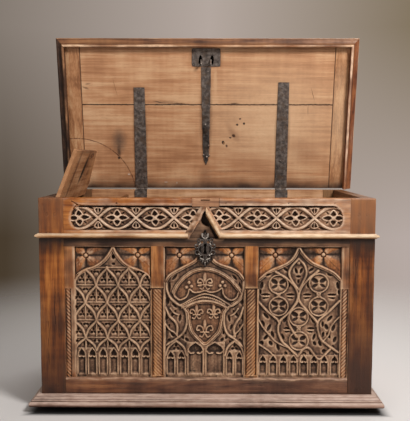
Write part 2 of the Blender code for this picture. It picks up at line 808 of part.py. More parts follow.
def lid_cutter(name, x_pair, y_pair, z_pair, parent):
    """Add a cutter from its place on the closed lid."""
    y_low, z_low = lid_point(y_pair[0], z_pair[0])
    y_high, z_high = lid_point(y_pair[1], z_pair[1])
    return box_cutter(name, (x_pair[0], y_low, z_low), (x_pair[1], y_high, z_high), parent)


def add_lid_boards(parent):
    """Add the lid's two boards and the cleats that clamp their ends; returns the front board."""
    z_pair = (LID_UNDER, LID_UNDER + LID_THICKNESS)
    board_x = LID_HALF_WIDTH - CLEAT_WIDTH - FIT
    joint_y = BODY_DEPTH - LID_BOARD_JOINT
    boards = []
    for place, y_pair in (
        ("front", (LID_FRONT_Y, joint_y - FIT)),
        ("rear", (joint_y, LID_REAR_Y)),
    ):
        boards.append(
            lid_box(f"lid_board_{place}", (-board_x, board_x), y_pair, z_pair, OAK_LIGHT, parent)
        )
    z_mid = LID_UNDER + LID_THICKNESS / 2
    tongue_z = (z_mid - TONGUE_THICKNESS / 2, z_mid + TONGUE_THICKNESS / 2)
    for side, sign in (("left", -1), ("right", 1)):
        cleat_x = sorted((sign * (LID_HALF_WIDTH - CLEAT_WIDTH), sign * LID_HALF_WIDTH))
        cleat = lid_box(
            f"lid_cleat_{side}", cleat_x, (LID_FRONT_Y, LID_REAR_Y), z_pair, OAK_LIGHT, parent
        )
        tongue_x = sorted((sign * (board_x - LID_TONGUE), sign * (board_x + LID_TONGUE)))
        for board, y_pair in (
            (boards[0], (LID_FRONT_Y + TENON_SHOULDER, joint_y - TENON_SHOULDER)),
            (boards[1], (joint_y + TENON_SHOULDER, LID_REAR_Y - TENON_SHOULDER)),
        ):
            name = f"{board.name}_{side}"
            tongue = lid_cutter(f"{name}_tongue", tongue_x, y_pair, tongue_z, parent)
            boolean(board, tongue, "UNION")
            housing = lid_cutter(
                f"{name}_housing",
                (tongue_x[0] - FIT, tongue_x[1] + FIT),
                (y_pair[0] - FIT, y_pair[1] + FIT),
                (tongue_z[0] - FIT, tongue_z[1] + FIT),
                parent,
            )
            boolean(cleat, housing, "DIFFERENCE")
    return boards[0]


def add_lid_lips(parent):
    """Add the moulded lips under the lid's front and end edges."""
    profile = lip_profile()
    z_base = LID_UNDER
    reach = HALF_WIDTH + LIP_CLEARANCE - FIT
    sections = []
    for sign in (-1, 1):
        sections.append(
            [
                (sign * (reach + out), *lid_point(-(LIP_CLEARANCE + out), z_base - down))
                for out, down in profile
            ]
        )
    add_object("lid_moulding_front", sweep_bmesh(sections), OAK_DARK, parent)
    for side, sign in (("left", -1), ("right", 1)):
        front = []
        rear = []
        for out, down in profile:
            x = sign * (HALF_WIDTH + LIP_CLEARANCE + out)
            front.append((x, *lid_point(-(LIP_CLEARANCE + out) + FIT, z_base - down)))
            rear.append((x, *lid_point(LID_REAR_Y, z_base - down)))
        add_object(f"lid_moulding_{side}", sweep_bmesh([front, rear]), OAK_DARK, parent)


# Strap hinges


def add_hinge(side, x_mid, length, lid, body, rear_rail):
    """Add one strap hinge: the strap on the lid, the bent tail on the rear and the pin."""
    top = LID_UNDER - FIT
    bottom = top - STRAP_THICKNESS
    root = STRAP_ROOT_WIDTH / 2
    tip = STRAP_TIP_WIDTH / 2
    tip_y = BODY_DEPTH - length
    outline = (
        (x_mid - root, 0.0),
        (x_mid + root, 0.0),
        (x_mid + tip, tip_y - HINGE_Y),
        (x_mid - tip, tip_y - HINGE_Y),
    )
    upper = [(x, y, top) for x, y in outline]
    lower = [(x, y, bottom) for x, y in outline]
    strap = add_object(f"hinge_strap_{side}", sweep_bmesh([upper, lower]), IRON, lid)
    half = KNUCKLE_CENTRE_WIDTH / 2
    outer = half + FIT + KNUCKLE_SIDE_WIDTH
    for sign in (-1, 1):
        near, far = sorted((x_mid + sign * half, x_mid + sign * (root + STRAP_THICKNESS)))
        gap = box_cutter(
            f"hinge_strap_{side}_gap_{sign}",
            (near, -KNUCKLE_RADIUS - FIT * 2, -KNUCKLE_RADIUS),
            (far, KNUCKLE_RADIUS, KNUCKLE_RADIUS),
            lid,
        )
        boolean(strap, gap, "DIFFERENCE")
    barrel = add_object(
        f"hinge_strap_{side}_barrel",
        rod_bmesh(KNUCKLE_RADIUS, (x_mid - half, 0, 0), (x_mid + half, 0, 0)),
        None,
        lid,
        cutter=True,
    )
    boolean(strap, barrel, "UNION")
    bore = add_object(
        f"hinge_strap_{side}_bore",
        rod_bmesh(PIN_RADIUS + FIT, (x_mid - outer, 0, 0), (x_mid + outer, 0, 0)),
        None,
        lid,
        cutter=True,
    )
    boolean(strap, bore, "DIFFERENCE")
    add_hinge_tail(side, x_mid, root, half, outer, body, rear_rail)


def add_hinge_tail(side, x_mid, root, half, outer, body, rear_rail):
    """Add the tail bent over the rear rail, its two barrels and the pin they hold."""
    seat = RIM_HEIGHT - TAIL_SINK - STRAP_THICKNESS
    tail = box(
        f"hinge_tail_{side}",
        (x_mid - root, REAR_INNER_Y - FIT - STRAP_THICKNESS, seat),
        (x_mid + root, HINGE_Y, seat + STRAP_THICKNESS),
        IRON,
        body,
        arris=0.0,
    )
    leg = box_cutter(
        f"hinge_tail_{side}_leg",
        (x_mid - root, REAR_INNER_Y - FIT - STRAP_THICKNESS, RIM_HEIGHT - TAIL_DROP),
        (x_mid + root, REAR_INNER_Y - FIT, seat + STRAP_THICKNESS / 2),
        body,
    )
    boolean(tail, leg, "UNION")
    for label, x_low, x_high in (
        ("left", x_mid - outer, x_mid - half - FIT),
        ("right", x_mid + half + FIT, x_mid + outer),
    ):
        barrel = add_object(
            f"hinge_tail_{side}_barrel_{label}",
            rod_bmesh(KNUCKLE_RADIUS, (x_low, HINGE_Y, RIM_HEIGHT), (x_high, HINGE_Y, RIM_HEIGHT)),
            None,
            body,
            cutter=True,
        )
        boolean(tail, barrel, "UNION")
    room = box_cutter(
        f"hinge_tail_{side}_room",
        (x_mid - half - FIT, HINGE_Y - KNUCKLE_RADIUS - FIT, seat - FIT),
        (x_mid + half + FIT, HINGE_Y + KNUCKLE_RADIUS, RIM_HEIGHT + KNUCKLE_RADIUS),
        body,
    )
    boolean(tail, room, "DIFFERENCE")
    bore = add_object(
        f"hinge_tail_{side}_bore",
        rod_bmesh(
            PIN_RADIUS + FIT,
            (x_mid - outer - FIT, HINGE_Y, RIM_HEIGHT),
            (x_mid + outer + FIT, HINGE_Y, RIM_HEIGHT),
        ),
        None,
        body,
        cutter=True,
    )
    boolean(tail, bore, "DIFFERENCE")
    add_object(
        f"hinge_pin_{side}",
        rod_bmesh(
            PIN_RADIUS, (x_mid - outer, HINGE_Y, RIM_HEIGHT), (x_mid + outer, HINGE_Y, RIM_HEIGHT)
        ),
        IRON,
        body,
    )
    notch = box_cutter(
        f"hinge_notch_{side}",
        (x_mid - root - FIT, REAR_INNER_Y - FIT * 2, seat - FIT),
        (x_mid + root + FIT, BODY_DEPTH + FIT * 2, RIM_HEIGHT + KNUCKLE_RADIUS),
        body,
    )
    boolean(rear_rail, notch, "DIFFERENCE")


# Catch on the lid


def add_catch(front_board, lid):
    """Let the catch plate into the lid, and add its two staples and the strap behind it."""
    top = LID_UNDER - FIT
    bottom = top - STRAP_THICKNESS
    half = CATCH_PLATE_WIDTH / 2
    rear_y = CATCH_PLATE_FRONT + CATCH_PLATE_DEPTH
    lid_box(
        "catch_plate",
        (LOCK_X - half, LOCK_X + half),
        (CATCH_PLATE_FRONT, rear_y),
        (LID_UNDER, LID_UNDER + STRAP_THICKNESS),
        IRON,
        lid,
        arris=0.0,
    )
    recess = lid_cutter(
        "catch_recess",
        (LOCK_X - half - FIT, LOCK_X + half + FIT),
        (CATCH_PLATE_FRONT - FIT, rear_y + FIT),
        (LID_UNDER - STRAP_THICKNESS, LID_UNDER + STRAP_THICKNESS + FIT),
        lid,
    )
    boolean(front_board, recess, "DIFFERENCE")
    for side, sign in (("left", -1), ("right", 1)):
        x_mid = LOCK_X + sign * STAPLE_SPACING / 2
        x_pair = (x_mid - STAPLE_BAR / 2, x_mid + STAPLE_BAR / 2)
        staple = lid_box(
            f"catch_staple_{side}",
            x_pair,
            (STAPLE_Y - STAPLE_WIDTH / 2, STAPLE_Y + STAPLE_WIDTH / 2),
            (top - STAPLE_DROP, top),
            IRON,
            lid,
            arris=0.0,
        )
        eye_half = STAPLE_WIDTH / 2 - STAPLE_BAR
        eye = lid_cutter(
            f"catch_staple_{side}_eye",
            (x_pair[0] - STAPLE_BAR, x_pair[1] + STAPLE_BAR),
            (STAPLE_Y - eye_half, STAPLE_Y + eye_half),
            (top - STAPLE_DROP + STAPLE_BAR, top - STAPLE_BAR / 2),
            lid,
        )
        boolean(staple, eye, "DIFFERENCE")
    wide = CATCH_STRAP_WIDTH / 2
    narrow = CATCH_STRAP_TIP_WIDTH / 2
    end_y = BODY_DEPTH - CATCH_STRAP_END
    shoulder_y = end_y - CATCH_STRAP_WIDTH
    outline = (
        (LOCK_X - wide, rear_y + FIT),
        (LOCK_X + wide, rear_y + FIT),
        (LOCK_X + narrow, shoulder_y),
        (LOCK_X, end_y),
        (LOCK_X - narrow, shoulder_y),
    )
    upper = [(x, *lid_point(y, top)) for x, y in outline]
    lower = [(x, *lid_point(y, bottom)) for x, y in outline]
    add_object("catch_strap", sweep_bmesh([upper, lower]), IRON, lid)


# Lock on the carcass


def keyhole_cutter(name, parent):
    """Add a cutter of the keyhole's shape, through everything at the lock."""
    z_round = RIM_HEIGHT - KEYHOLE_DROP
    outline = []
    half = KEYHOLE_SLOT_WIDTH / 2
    start = math.asin(half / KEYHOLE_RADIUS)
    steps = FACETS // 2
    for index in range(steps + 1):
        angle = start + (2 * math.pi - 2 * start) * index / steps - math.pi / 2
        outline.append(
            (LOCK_X + KEYHOLE_RADIUS * math.cos(angle), z_round + KEYHOLE_RADIUS * math.sin(angle))
        )
    outline.append((LOCK_X - half, z_round - KEYHOLE_SLOT_LENGTH))
    outline.append((LOCK_X + half, z_round - KEYHOLE_SLOT_LENGTH))
    bm = prism_bmesh(outline, -STRING_PROJECTION, FRONT_THICKNESS + LOCK_CASE_DEPTH / 2)
    return add_object(name, bm, None, parent, cutter=True)


def add_lock(top_rail, centre_panel, parent):
    """Add the lock's case, its bolt and the escutcheon round the keyhole."""
    y_low = FRONT_THICKNESS + FIT
    y_high = y_low + LOCK_CASE_DEPTH
    z_high = RIM_HEIGHT - LOCK_CASE_TOP_DROP
    z_low = z_high - LOCK_CASE_HEIGHT
    half = LOCK_CASE_WIDTH / 2
    case = box(
        "lock_case", (LOCK_X - half, y_low, z_low), (LOCK_X + half, y_high, z_high), IRON, parent, 0.0
    )
    hollow = box_cutter(
        "lock_hollow",
        (LOCK_X - half + LOCK_WALL, y_low - LOCK_WALL, z_low + LOCK_WALL),
        (LOCK_X + half - LOCK_WALL, y_high - LOCK_WALL, z_high - LOCK_WALL),
        parent,
    )
    boolean(case, hollow, "DIFFERENCE")
    mouth_half_x = (STAPLE_SPACING + STAPLE_BAR) / 2 + STAPLE_BAR
    mouth_half_y = STAPLE_WIDTH / 2 + LOCK_WALL
    mouth = box_cutter(
        "lock_mouth",
        (LOCK_X - mouth_half_x, STAPLE_Y - mouth_half_y, z_high - LOCK_WALL * 2),
        (LOCK_X + mouth_half_x, STAPLE_Y + mouth_half_y, z_high + LOCK_WALL),
        parent,
    )
    boolean(case, mouth, "DIFFERENCE")

    bar_top = RIM_HEIGHT - BOLT_BAR_DROP
    bar_bottom = bar_top - BOLT_BAR_HEIGHT
    ledge = box_cutter(
        "lock_ledge",
        (LOCK_X - half + LOCK_WALL / 2, STAPLE_Y, bar_bottom - FIT - LOCK_WALL * 2),
        (LOCK_X + half - LOCK_WALL / 2, y_high - LOCK_WALL / 2, bar_bottom - FIT),
        parent,
    )
    boolean(case, ledge, "UNION")
    add_bolt(bar_bottom, bar_top, y_high - LOCK_WALL - FIT, parent)

    cutter = keyhole_cutter("keyhole", parent)
    boolean(top_rail, cutter, "DIFFERENCE")
    boolean(centre_panel, cutter, "DIFFERENCE")
    escutcheon = add_escutcheon(parent)
    boolean(escutcheon, cutter, "DIFFERENCE")


def add_bolt(bar_bottom, bar_top, y_rear, parent):
    """Add the sliding bolt: a bar with two fingers that pass through the staples' eyes."""
    y_front = STAPLE_Y - BOLT_THICKNESS / 2
    clearance = (BOLT_TRAVEL - BOLT_FINGER + STAPLE_BAR) / 3
    finger_high = RIM_HEIGHT - LOCK_CASE_TOP_DROP - LOCK_WALL - 2 * FIT
    finger_low = finger_high - BOLT_FINGER_HEIGHT
    roots = []
    for sign in (-1, 1):
        tip = LOCK_X + sign * STAPLE_SPACING / 2 - STAPLE_BAR / 2 - clearance
        roots.append(tip - BOLT_FINGER)
    bar = box(
        "lock_bolt",
        (roots[0] - BOLT_RISER, y_front, bar_bottom),
        (roots[1] + BOLT_FINGER, y_rear, bar_top),
        IRON,
        parent,
        arris=0.0,
    )
    for index, root in enumerate(roots):
        outline = (
            (root - BOLT_RISER, bar_bottom + BOLT_BAR_HEIGHT / 2),
            (root, bar_bottom + BOLT_BAR_HEIGHT / 2),
            (root, finger_low),
            (root + BOLT_FINGER, finger_low),
            (root + BOLT_FINGER, finger_high),
            (root - BOLT_RISER, finger_high),
        )
        bm = prism_bmesh(outline, y_front, y_front + BOLT_THICKNESS)
        finger = add_object(f"lock_bolt_finger_{index}", bm, None, parent, cutter=True)
        boolean(bar, finger, "UNION")


def add_escutcheon(parent):
    """Add the leafy iron plate round the keyhole."""
    z_mid = RIM_HEIGHT - ESCUTCHEON_DROP
    steps = FACETS * 3
    outline = []
    for index in range(steps):
        angle = 2 * math.pi * index / steps
        swell = 0.82 + 0.18 * math.cos(8 * angle)
        waist = 1.0 - 0.30 * abs(math.sin(2 * angle))
        outline.append(
            (
                LOCK_X + ESCUTCHEON_HALF_WIDTH * math.cos(angle) * swell * waist,
                z_mid + ESCUTCHEON_HALF_HEIGHT * math.sin(angle) * swell * waist,
            )
        )
    bm = prism_bmesh(outline, -FIT - ESCUTCHEON_THICKNESS, -FIT)
    return add_object("escutcheon", bm, IRON, parent)


def cut_front_rim(top_rail, parent):
    """Cut the notch over the lock and let the repair block into the rail above it."""
    outline = (
        (LOCK_X, RIM_HEIGHT - NOTCH_APEX_DROP - FIT),
        (LOCK_X - NOTCH_HALF_WIDTH, RIM_HEIGHT - STRING_DROP - STRING_HEIGHT),
        (LOCK_X + NOTCH_HALF_WIDTH, RIM_HEIGHT - STRING_DROP - STRING_HEIGHT),
    )
    bm = prism_bmesh(outline, -NOTCH_DEPTH, NOTCH_DEPTH)
    boolean(top_rail, add_object("front_notch", bm, None, parent, cutter=True), "DIFFERENCE")

    low = (BLOCK_X[0], 0.0, RIM_HEIGHT - BLOCK_DROP)
    high = (BLOCK_X[1], BLOCK_DEPTH, RIM_HEIGHT)
    block = box("rail_repair_block", low, high, OAK_LIGHT, parent, arris=0.0)
    seat_low, seat_high = grow(low, high, FIT)
    seat = box_cutter("rail_block_seat", seat_low - Vector((0, NOTCH_DEPTH, 0)), seat_high, parent)
    boolean(top_rail, seat, "DIFFERENCE")
    slot_top = RIM_HEIGHT - BLOCK_SLOT_DROP
    slot = box_cutter(
        "rail_block_slot",
        (LOCK_X - BLOCK_SLOT_LENGTH / 2, -BLOCK_SLOT_DEPTH, slot_top - BLOCK_SLOT_HEIGHT),
        (LOCK_X + BLOCK_SLOT_LENGTH / 2, BLOCK_SLOT_DEPTH, slot_top),
        parent,
    )
    boolean(block, slot, "DIFFERENCE")


# Till


def add_till(front_rail, rear_rail, body, pivot):
    """Add the till's side and floor, and its lid with the two pivots it turns on."""
    lid_under = RIM_HEIGHT - TILL_PIVOT_DROP - TILL_LID_THICKNESS / 2
    side_top = lid_under - FIT
    side_x = TILL_PIVOT_X + TILL_LID_WIDTH - TILL_BOARD_THICKNESS
    y_pair = (FRONT_THICKNESS + FIT, REAR_INNER_Y - FIT)
    floor_top = RIM_HEIGHT - TILL_DEPTH
    box(
        "till_side",
        (side_x, y_pair[0], floor_top - TILL_BOARD_THICKNESS),
        (side_x + TILL_BOARD_THICKNESS, y_pair[1], side_top),
        OAK_LIGHT,
        body,
    )
    box(
        "till_floor",
        (-INNER_X + FIT, y_pair[0], floor_top - TILL_BOARD_THICKNESS),
        (side_x - FIT, y_pair[1], floor_top),
        OAK_LIGHT,
        body,
    )
    half = TILL_LID_THICKNESS / 2
    rear_y = HINGE_Y - TILL_SLANT_FRONT
    outline = (
        (-half, y_pair[0]),
        (TILL_LID_WIDTH, y_pair[0]),
        (TILL_LID_WIDTH, rear_y),
        (TILL_SLANT_START, y_pair[1]),
        (-half, y_pair[1]),
    )
    upper = [(x, y, half) for x, y in outline]
    lower = [(x, y, -half) for x, y in outline]
    till_lid = add_object("till_lid", sweep_bmesh([upper, lower]), OAK_LIGHT, pivot, ARRIS)
    for label, rail, y_near, y_far in (
        ("front", front_rail, y_pair[0] + FIT * 4, y_pair[0] - TILL_PIVOT_LENGTH),
        ("rear", rear_rail, y_pair[1] - FIT * 4, y_pair[1] + TILL_PIVOT_LENGTH),
    ):
        pin = add_object(
            f"till_pin_{label}",
            rod_bmesh(TILL_PIVOT_RADIUS, (0, y_near, 0), (0, y_far, 0)),
            None,
            pivot,
            cutter=True,
        )
        boolean(till_lid, pin, "UNION")
        reach = FIT if y_far > y_near else -FIT
        place = (TILL_PIVOT_X, RIM_HEIGHT - TILL_PIVOT_DROP)
        hole = add_object(
            f"till_pin_hole_{label}",
            rod_bmesh(
                TILL_PIVOT_RADIUS + FIT,
                (place[0], y_near, place[1]),
                (place[0], y_far + reach, place[1]),
            ),
            None,
            body,
            cutter=True,
        )
        boolean(rail, hole, "DIFFERENCE")


def build_chest():
    """Build every piece of the chest."""
    base = make_empty("chest_base", (0.0, -CENTRE_Y, 0.0))
    lid = make_empty("lid_hinge_line", (0.0, HINGE_Y, RIM_HEIGHT), (-LID_OPEN_ANGLE, 0, 0), base)
    pivot = make_empty(
        "till_pivot_line",
        (TILL_PIVOT_X, 0.0, RIM_HEIGHT - TILL_PIVOT_DROP),
        (0, -TILL_LID_ANGLE, 0),
        base,
    )
    stiles = add_stiles(base)
    front_top, front_bottom, centre_panel = add_front(stiles, base)
    rear_top, rear_bottom = add_rear(stiles, base)
    add_ends(stiles, base)
    add_floor((front_bottom, rear_bottom, *stiles.values()), base)
    add_bearers(base)
    add_base_mouldings(base)
    add_string_mouldings(base)
    cut_front_rim(front_top, base)
    add_lock(front_top, centre_panel, base)
    front_board = add_lid_boards(lid)
    add_lid_lips(lid)
    add_catch(front_board, lid)
    for side, x_mid, length in zip(("left", "right"), STRAP_X, STRAP_LENGTH):
        add_hinge(side, x_mid, length, lid, base, rear_top)
    add_till(stiles["front", "left"], stiles["rear", "left"], base, pivot)


clear_scene()
PARTS = make_collection("storage_chest")
CUTTERS = make_collection("cutters")
OAK_DARK = make_material("oak_waxed_dark", (0.115, 0.045, 0.020), 0.45)
OAK_LIGHT = make_material("oak_bare", (0.300, 0.140, 0.060), 0.60)
OAK_CARVED = make_material("oak_carved", (0.140, 0.062, 0.030), 0.50)
IRON = make_material("iron_forged", (0.035, 0.032, 0.030), 0.55, 0.9)
build_chest()
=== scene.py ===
import math

import bmesh
import bpy
import numpy as np
from mathutils import Matrix, Vector


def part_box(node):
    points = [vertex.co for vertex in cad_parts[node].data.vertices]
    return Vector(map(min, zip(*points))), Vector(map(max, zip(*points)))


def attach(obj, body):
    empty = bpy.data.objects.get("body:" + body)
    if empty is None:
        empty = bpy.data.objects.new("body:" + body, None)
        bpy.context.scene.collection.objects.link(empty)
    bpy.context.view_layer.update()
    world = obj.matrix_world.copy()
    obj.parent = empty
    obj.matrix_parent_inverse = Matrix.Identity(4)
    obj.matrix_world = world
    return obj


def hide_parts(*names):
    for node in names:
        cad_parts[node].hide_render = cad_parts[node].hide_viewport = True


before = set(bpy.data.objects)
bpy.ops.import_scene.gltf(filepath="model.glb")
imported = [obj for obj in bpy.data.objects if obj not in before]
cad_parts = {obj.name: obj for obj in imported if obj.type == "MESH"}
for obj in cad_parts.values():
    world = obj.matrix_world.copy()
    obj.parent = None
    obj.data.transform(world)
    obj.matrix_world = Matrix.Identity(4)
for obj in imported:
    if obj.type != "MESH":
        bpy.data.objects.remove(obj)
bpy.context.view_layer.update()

# Places from the frame, in metres
POST_LOW, POST_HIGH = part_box("front_stile_left")
FRONT_Y = POST_LOW.y
RIM_Z = POST_HIGH.z
HALF_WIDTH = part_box("front_stile_right")[1].x
REAR_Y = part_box("rear_stile_left")[1].y
BLOCK_LOW, BLOCK_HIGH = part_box("rail_repair_block")
# The front frame's back, and its panels' faces
FRAME_BACK = FRONT_Y + 0.045
PANEL_FRONT, PANEL_BACK = FRONT_Y + 0.004, FRONT_Y + 0.030
# The lock's middle, and the heights at which the base and string mouldings start
LOCK_X = -0.006
BASE_Z, STRING_Z = 0.0224, 0.652
# The lid's hinge and its angle in the pose shown; its other places are from the hinge, when shut
HINGE = Vector((0.0, 0.325541, RIM_Z))
LID_TURN = math.radians(-79.0)
LID_POSE = Matrix.Translation(HINGE) @ Matrix.Rotation(LID_TURN, 4, "X")
LID_UNDER, LID_REAR, LID_JOINT = 0.0006, -0.0058, -0.3888
CLEAT_X = 0.5600
STRAPS_X = (-0.303, 0.338)
TILL_PIVOT = Vector((-0.564, 0.0, 0.786))
TILL_TURN = math.radians(-68.5)
# The front's limits in millimetres, across from the middle and up from the rim
POST_IN, POST_OUT = 528, 620
PANEL_SPAN = (-674.7, -177)
RAIL_LOW = -777.7


def linear(code):
    """An sRGB hex colour as linear red, green, blue and alpha."""
    values = [int(code[i : i + 2], 16) / 255 for i in (1, 3, 5)]
    return (*(v / 12.92 if v <= 0.04045 else ((v + 0.055) / 1.055) ** 2.4 for v in values), 1.0)


def add(tree, kind, inputs=None, ramp=None, **settings):
    """A node with its settings; an input takes a value, a socket or a node's first output."""
    node = tree.nodes.new(kind)
    for key, value in settings.items():
        setattr(node, key, value)
    if ramp:
        stops = node.color_ramp.elements
        while len(stops) < len(ramp):
            stops.new(1.0)
        for stop, (position, tone) in zip(stops, ramp):
            stop.position = position
            stop.color = linear(tone) if isinstance(tone, str) else (tone, tone, tone, 1.0)
    for key, value in (inputs or {}).items():
        if isinstance(value, bpy.types.Node):
            value = value.outputs[0]
        if isinstance(value, bpy.types.NodeSocket):
            tree.links.new(value, node.inputs[key])
        else:
            node.inputs[key].default_value = value
    return node


# Materials


def blank(name):
    """A new material and its empty node tree."""
    material = bpy.data.materials.new(name)
    material.use_nodes = True
    material.node_tree.nodes.clear()
    return material, material.node_tree


def total(tree, parts):
    """The sum of some values, each times its share."""
    value = 0.0
    for part, share in parts:
        value = add(tree, "ShaderNodeMath", {0: part, 1: share, 2: value}, operation="MULTIPLY_ADD")
    return value


def old_wood(
    name, along, tones, grime_and_shade, rubbed_and_lit, rough=(0.40, 0.64), figure=1.0, dust_and_top_light=None, marks=None
):
    """Planed and aged oak: long fibres, ring figure, dark pores, hollows dark with dirt and painted
    shade, ridges pale with wear and painted light.

    The grain runs along an axis; the tones are its dark, middle and light colours.
    """
    material, tree = blank(name)
    place = add(tree, "ShaderNodeTexCoord").outputs["Object"]
    turn = {"x": (0, 0, 0), "y": (0, 0, math.pi / 2), "z": (0, math.pi / 2, 0)}[along]
    grain = add(tree, "ShaderNodeMapping", {"Vector": place, "Rotation": turn})

    def fleck(across, length, detail=2.0, bend=0.0):
        """Spots that are so wide across the grain and so long along it, in metres."""
        size = (1 / length, 1 / across, 1 / across)
        sized = add(tree, "ShaderNodeMapping", {"Vector": grain, "Scale": size})
        return add(
            tree,
            "ShaderNodeTexNoise",
            {"Vector": sized, "Scale": 1.0, "Detail": detail, "Distortion": bend},
        )

    # Growth rings about 8 mm apart, drawn as the contours of a broad noise
    rings = add(
        tree, "ShaderNodeMath", {0: fleck(0.070, 0.800, 1.5, 0.3), 1: 14.0}, operation="MULTIPLY"
    )
    rings = add(tree, "ShaderNodeMath", {0: rings, 1: 1.0}, operation="PINGPONG")
    # Fibres are really 0.3 mm wide, drawn 2.5 mm wide so that they show
    fibre = fleck(0.0025, 0.120, 3.0)
    streak = fleck(0.016, 0.450, 2.5)
    blotch = fleck(0.100, 0.170, 3.0)
    # Faint bands across the grain, left by the plane
    planed = fleck(0.300, 0.022, 1.0)
    # Open pores, short dark dashes along the grain
    pores = add(tree, "ShaderNodeMapRange", {0: fleck(0.0018, 0.022, 1.0), 1: 0.60, 2: 0.74})
    shares = ((streak, 0.45), (fibre, 0.32), (rings, 0.12 * figure), (blotch, 0.55), (planed, 0.14))
    tone = total(tree, shares)
    middle = 0.73 + 0.06 * figure
    colour = add(
        tree,
        "ShaderNodeValToRGB",
        {"Fac": tone},
        ramp=[(middle - 0.15, tones[0]), (middle, tones[1]), (middle + 0.16, tones[2])],
    )
    polish = add(tree, "ShaderNodeAttribute", attribute_name="polish").outputs["Fac"]
    polish = add(tree, "ShaderNodeMath", {0: polish, 1: blotch}, operation="MULTIPLY")
    polish = add(tree, "ShaderNodeMath", {0: polish, 1: 1.4}, operation="MULTIPLY", use_clamp=True)
    glow = add(
        tree,
        "ShaderNodeValToRGB",
        {"Fac": tone},
        ramp=[(middle - 0.13, "#5E2C0D"), (middle, "#98531D"), (middle + 0.14, "#C27A3A")],
    ).outputs[0]
    rub = add(tree, "ShaderNodeAttribute", attribute_name="rub").outputs["Fac"]
    patchy = add(
        tree, "ShaderNodeMapRange", {0: fleck(0.012, 0.035, 4.0), 1: 0.35, 2: 0.65, 3: 0.4, 4: 1.1}
    )
    high = add(tree, "ShaderNodeMath", {0: rub, 1: patchy}, operation="MULTIPLY", use_clamp=True)
    low = add(tree, "ShaderNodeMath", {0: rub, 1: -0.95}, operation="MULTIPLY", use_clamp=True)
    dashes = add(tree, "ShaderNodeMath", {0: pores, 1: 0.5}, operation="MULTIPLY")
    layers = [(polish, glow), (dashes, tones[0]), (high, rubbed_and_lit), (low, grime_and_shade)]
    if dust_and_top_light:
        # Faces that look up are dusty and painted with top light
        facing = add(tree, "ShaderNodeNewGeometry").outputs["Normal"]
        facing = add(tree, "ShaderNodeSeparateXYZ", {0: facing}).outputs["Z"]
        lying = add(tree, "ShaderNodeMapRange", {0: facing, 1: 0.15, 2: 0.9, 3: 0.0, 4: 0.85})
        lying = add(tree, "ShaderNodeMath", {0: lying, 1: patchy}, operation="MULTIPLY", use_clamp=True)
        layers.insert(3, (lying, dust_and_top_light))
    for factor, shade in layers:
        colour = mark(tree, colour, factor, shade)
    if marks:
        colour = marks(tree, place, colour)
    gloss = add(
        tree,
        "ShaderNodeMapRange",
        {0: tone, 1: middle - 0.2, 2: middle + 0.2, 3: rough[1], 4: rough[0]},
    )
    gloss = add(tree, "ShaderNodeMath", {0: low, 1: 0.3, 2: gloss}, operation="MULTIPLY_ADD")
    height = total(tree, ((fibre, 0.5), (streak, 0.9), (pores, -0.5)))
    bump = add(
        tree, "ShaderNodeBump", {"Height": height, "Strength": 0.6, "Distance": 0.0012}
    )
    shader = add(
        tree,
        "ShaderNodeBsdfPrincipled",
        {"Base Color": colour, "Roughness": gloss, "Normal": bump, "Specular IOR Level": 0.4},
    )
    add(tree, "ShaderNodeOutputMaterial", {"Surface": shader})
    return material


def mark(tree, colour, factor, shade, strength=1.0):
    """Lay a shade over a colour where the factor is high."""
    share = add(
        tree, "ShaderNodeMath", {0: factor, 1: strength}, operation="MULTIPLY", use_clamp=True
    )
    if isinstance(shade, str):
        shade = linear(shade)
    return add(tree, "ShaderNodeMix", {0: share, 6: colour, 7: shade}, data_type="RGBA").outputs[2]


def oval(tree, place, centre, size, turn=0.0, soft=0.5):
    """1 inside an oval of half sizes in metres, falling to 0 over its soft share."""
    turned = (0, 0, math.radians(turn))
    local = add(
        tree, "ShaderNodeMapping",
        {"Vector": place, "Location": centre, "Rotation": turned, "Scale": size},
        vector_type="TEXTURE",
    )
    away = add(tree, "ShaderNodeVectorMath", {0: local}, operation="LENGTH").outputs["Value"]
    return add(tree, "ShaderNodeMapRange", {0: away, 1: 1.0 - soft, 2: 1.0, 3: 1.0, 4: 0.0})


def stains(tree, place, colour, rows, thick, shift=0.0):
    """Lay ovals over a colour, whose places are moved on by a shift."""
    for x, y, wide, tall, turn, soft, shade, strength in rows:
        centre = (x + shift, y + shift, 0.0)
        shape = oval(tree, place, centre, (wide, tall, thick), turn, soft)
        colour = mark(tree, colour, shape, shade, strength)
    return colour


def stripe(tree, value, middle, core, edge):
    """1 where a value is within a core distance of the middle, falling to 0 at the edge."""
    off = add(tree, "ShaderNodeMath", {0: value, 1: middle}, operation="SUBTRACT")
    off = add(tree, "ShaderNodeMath", {0: off}, operation="ABSOLUTE")
    return add(tree, "ShaderNodeMapRange", {0: off, 1: core, 2: edge, 3: 1.0, 4: 0.0})


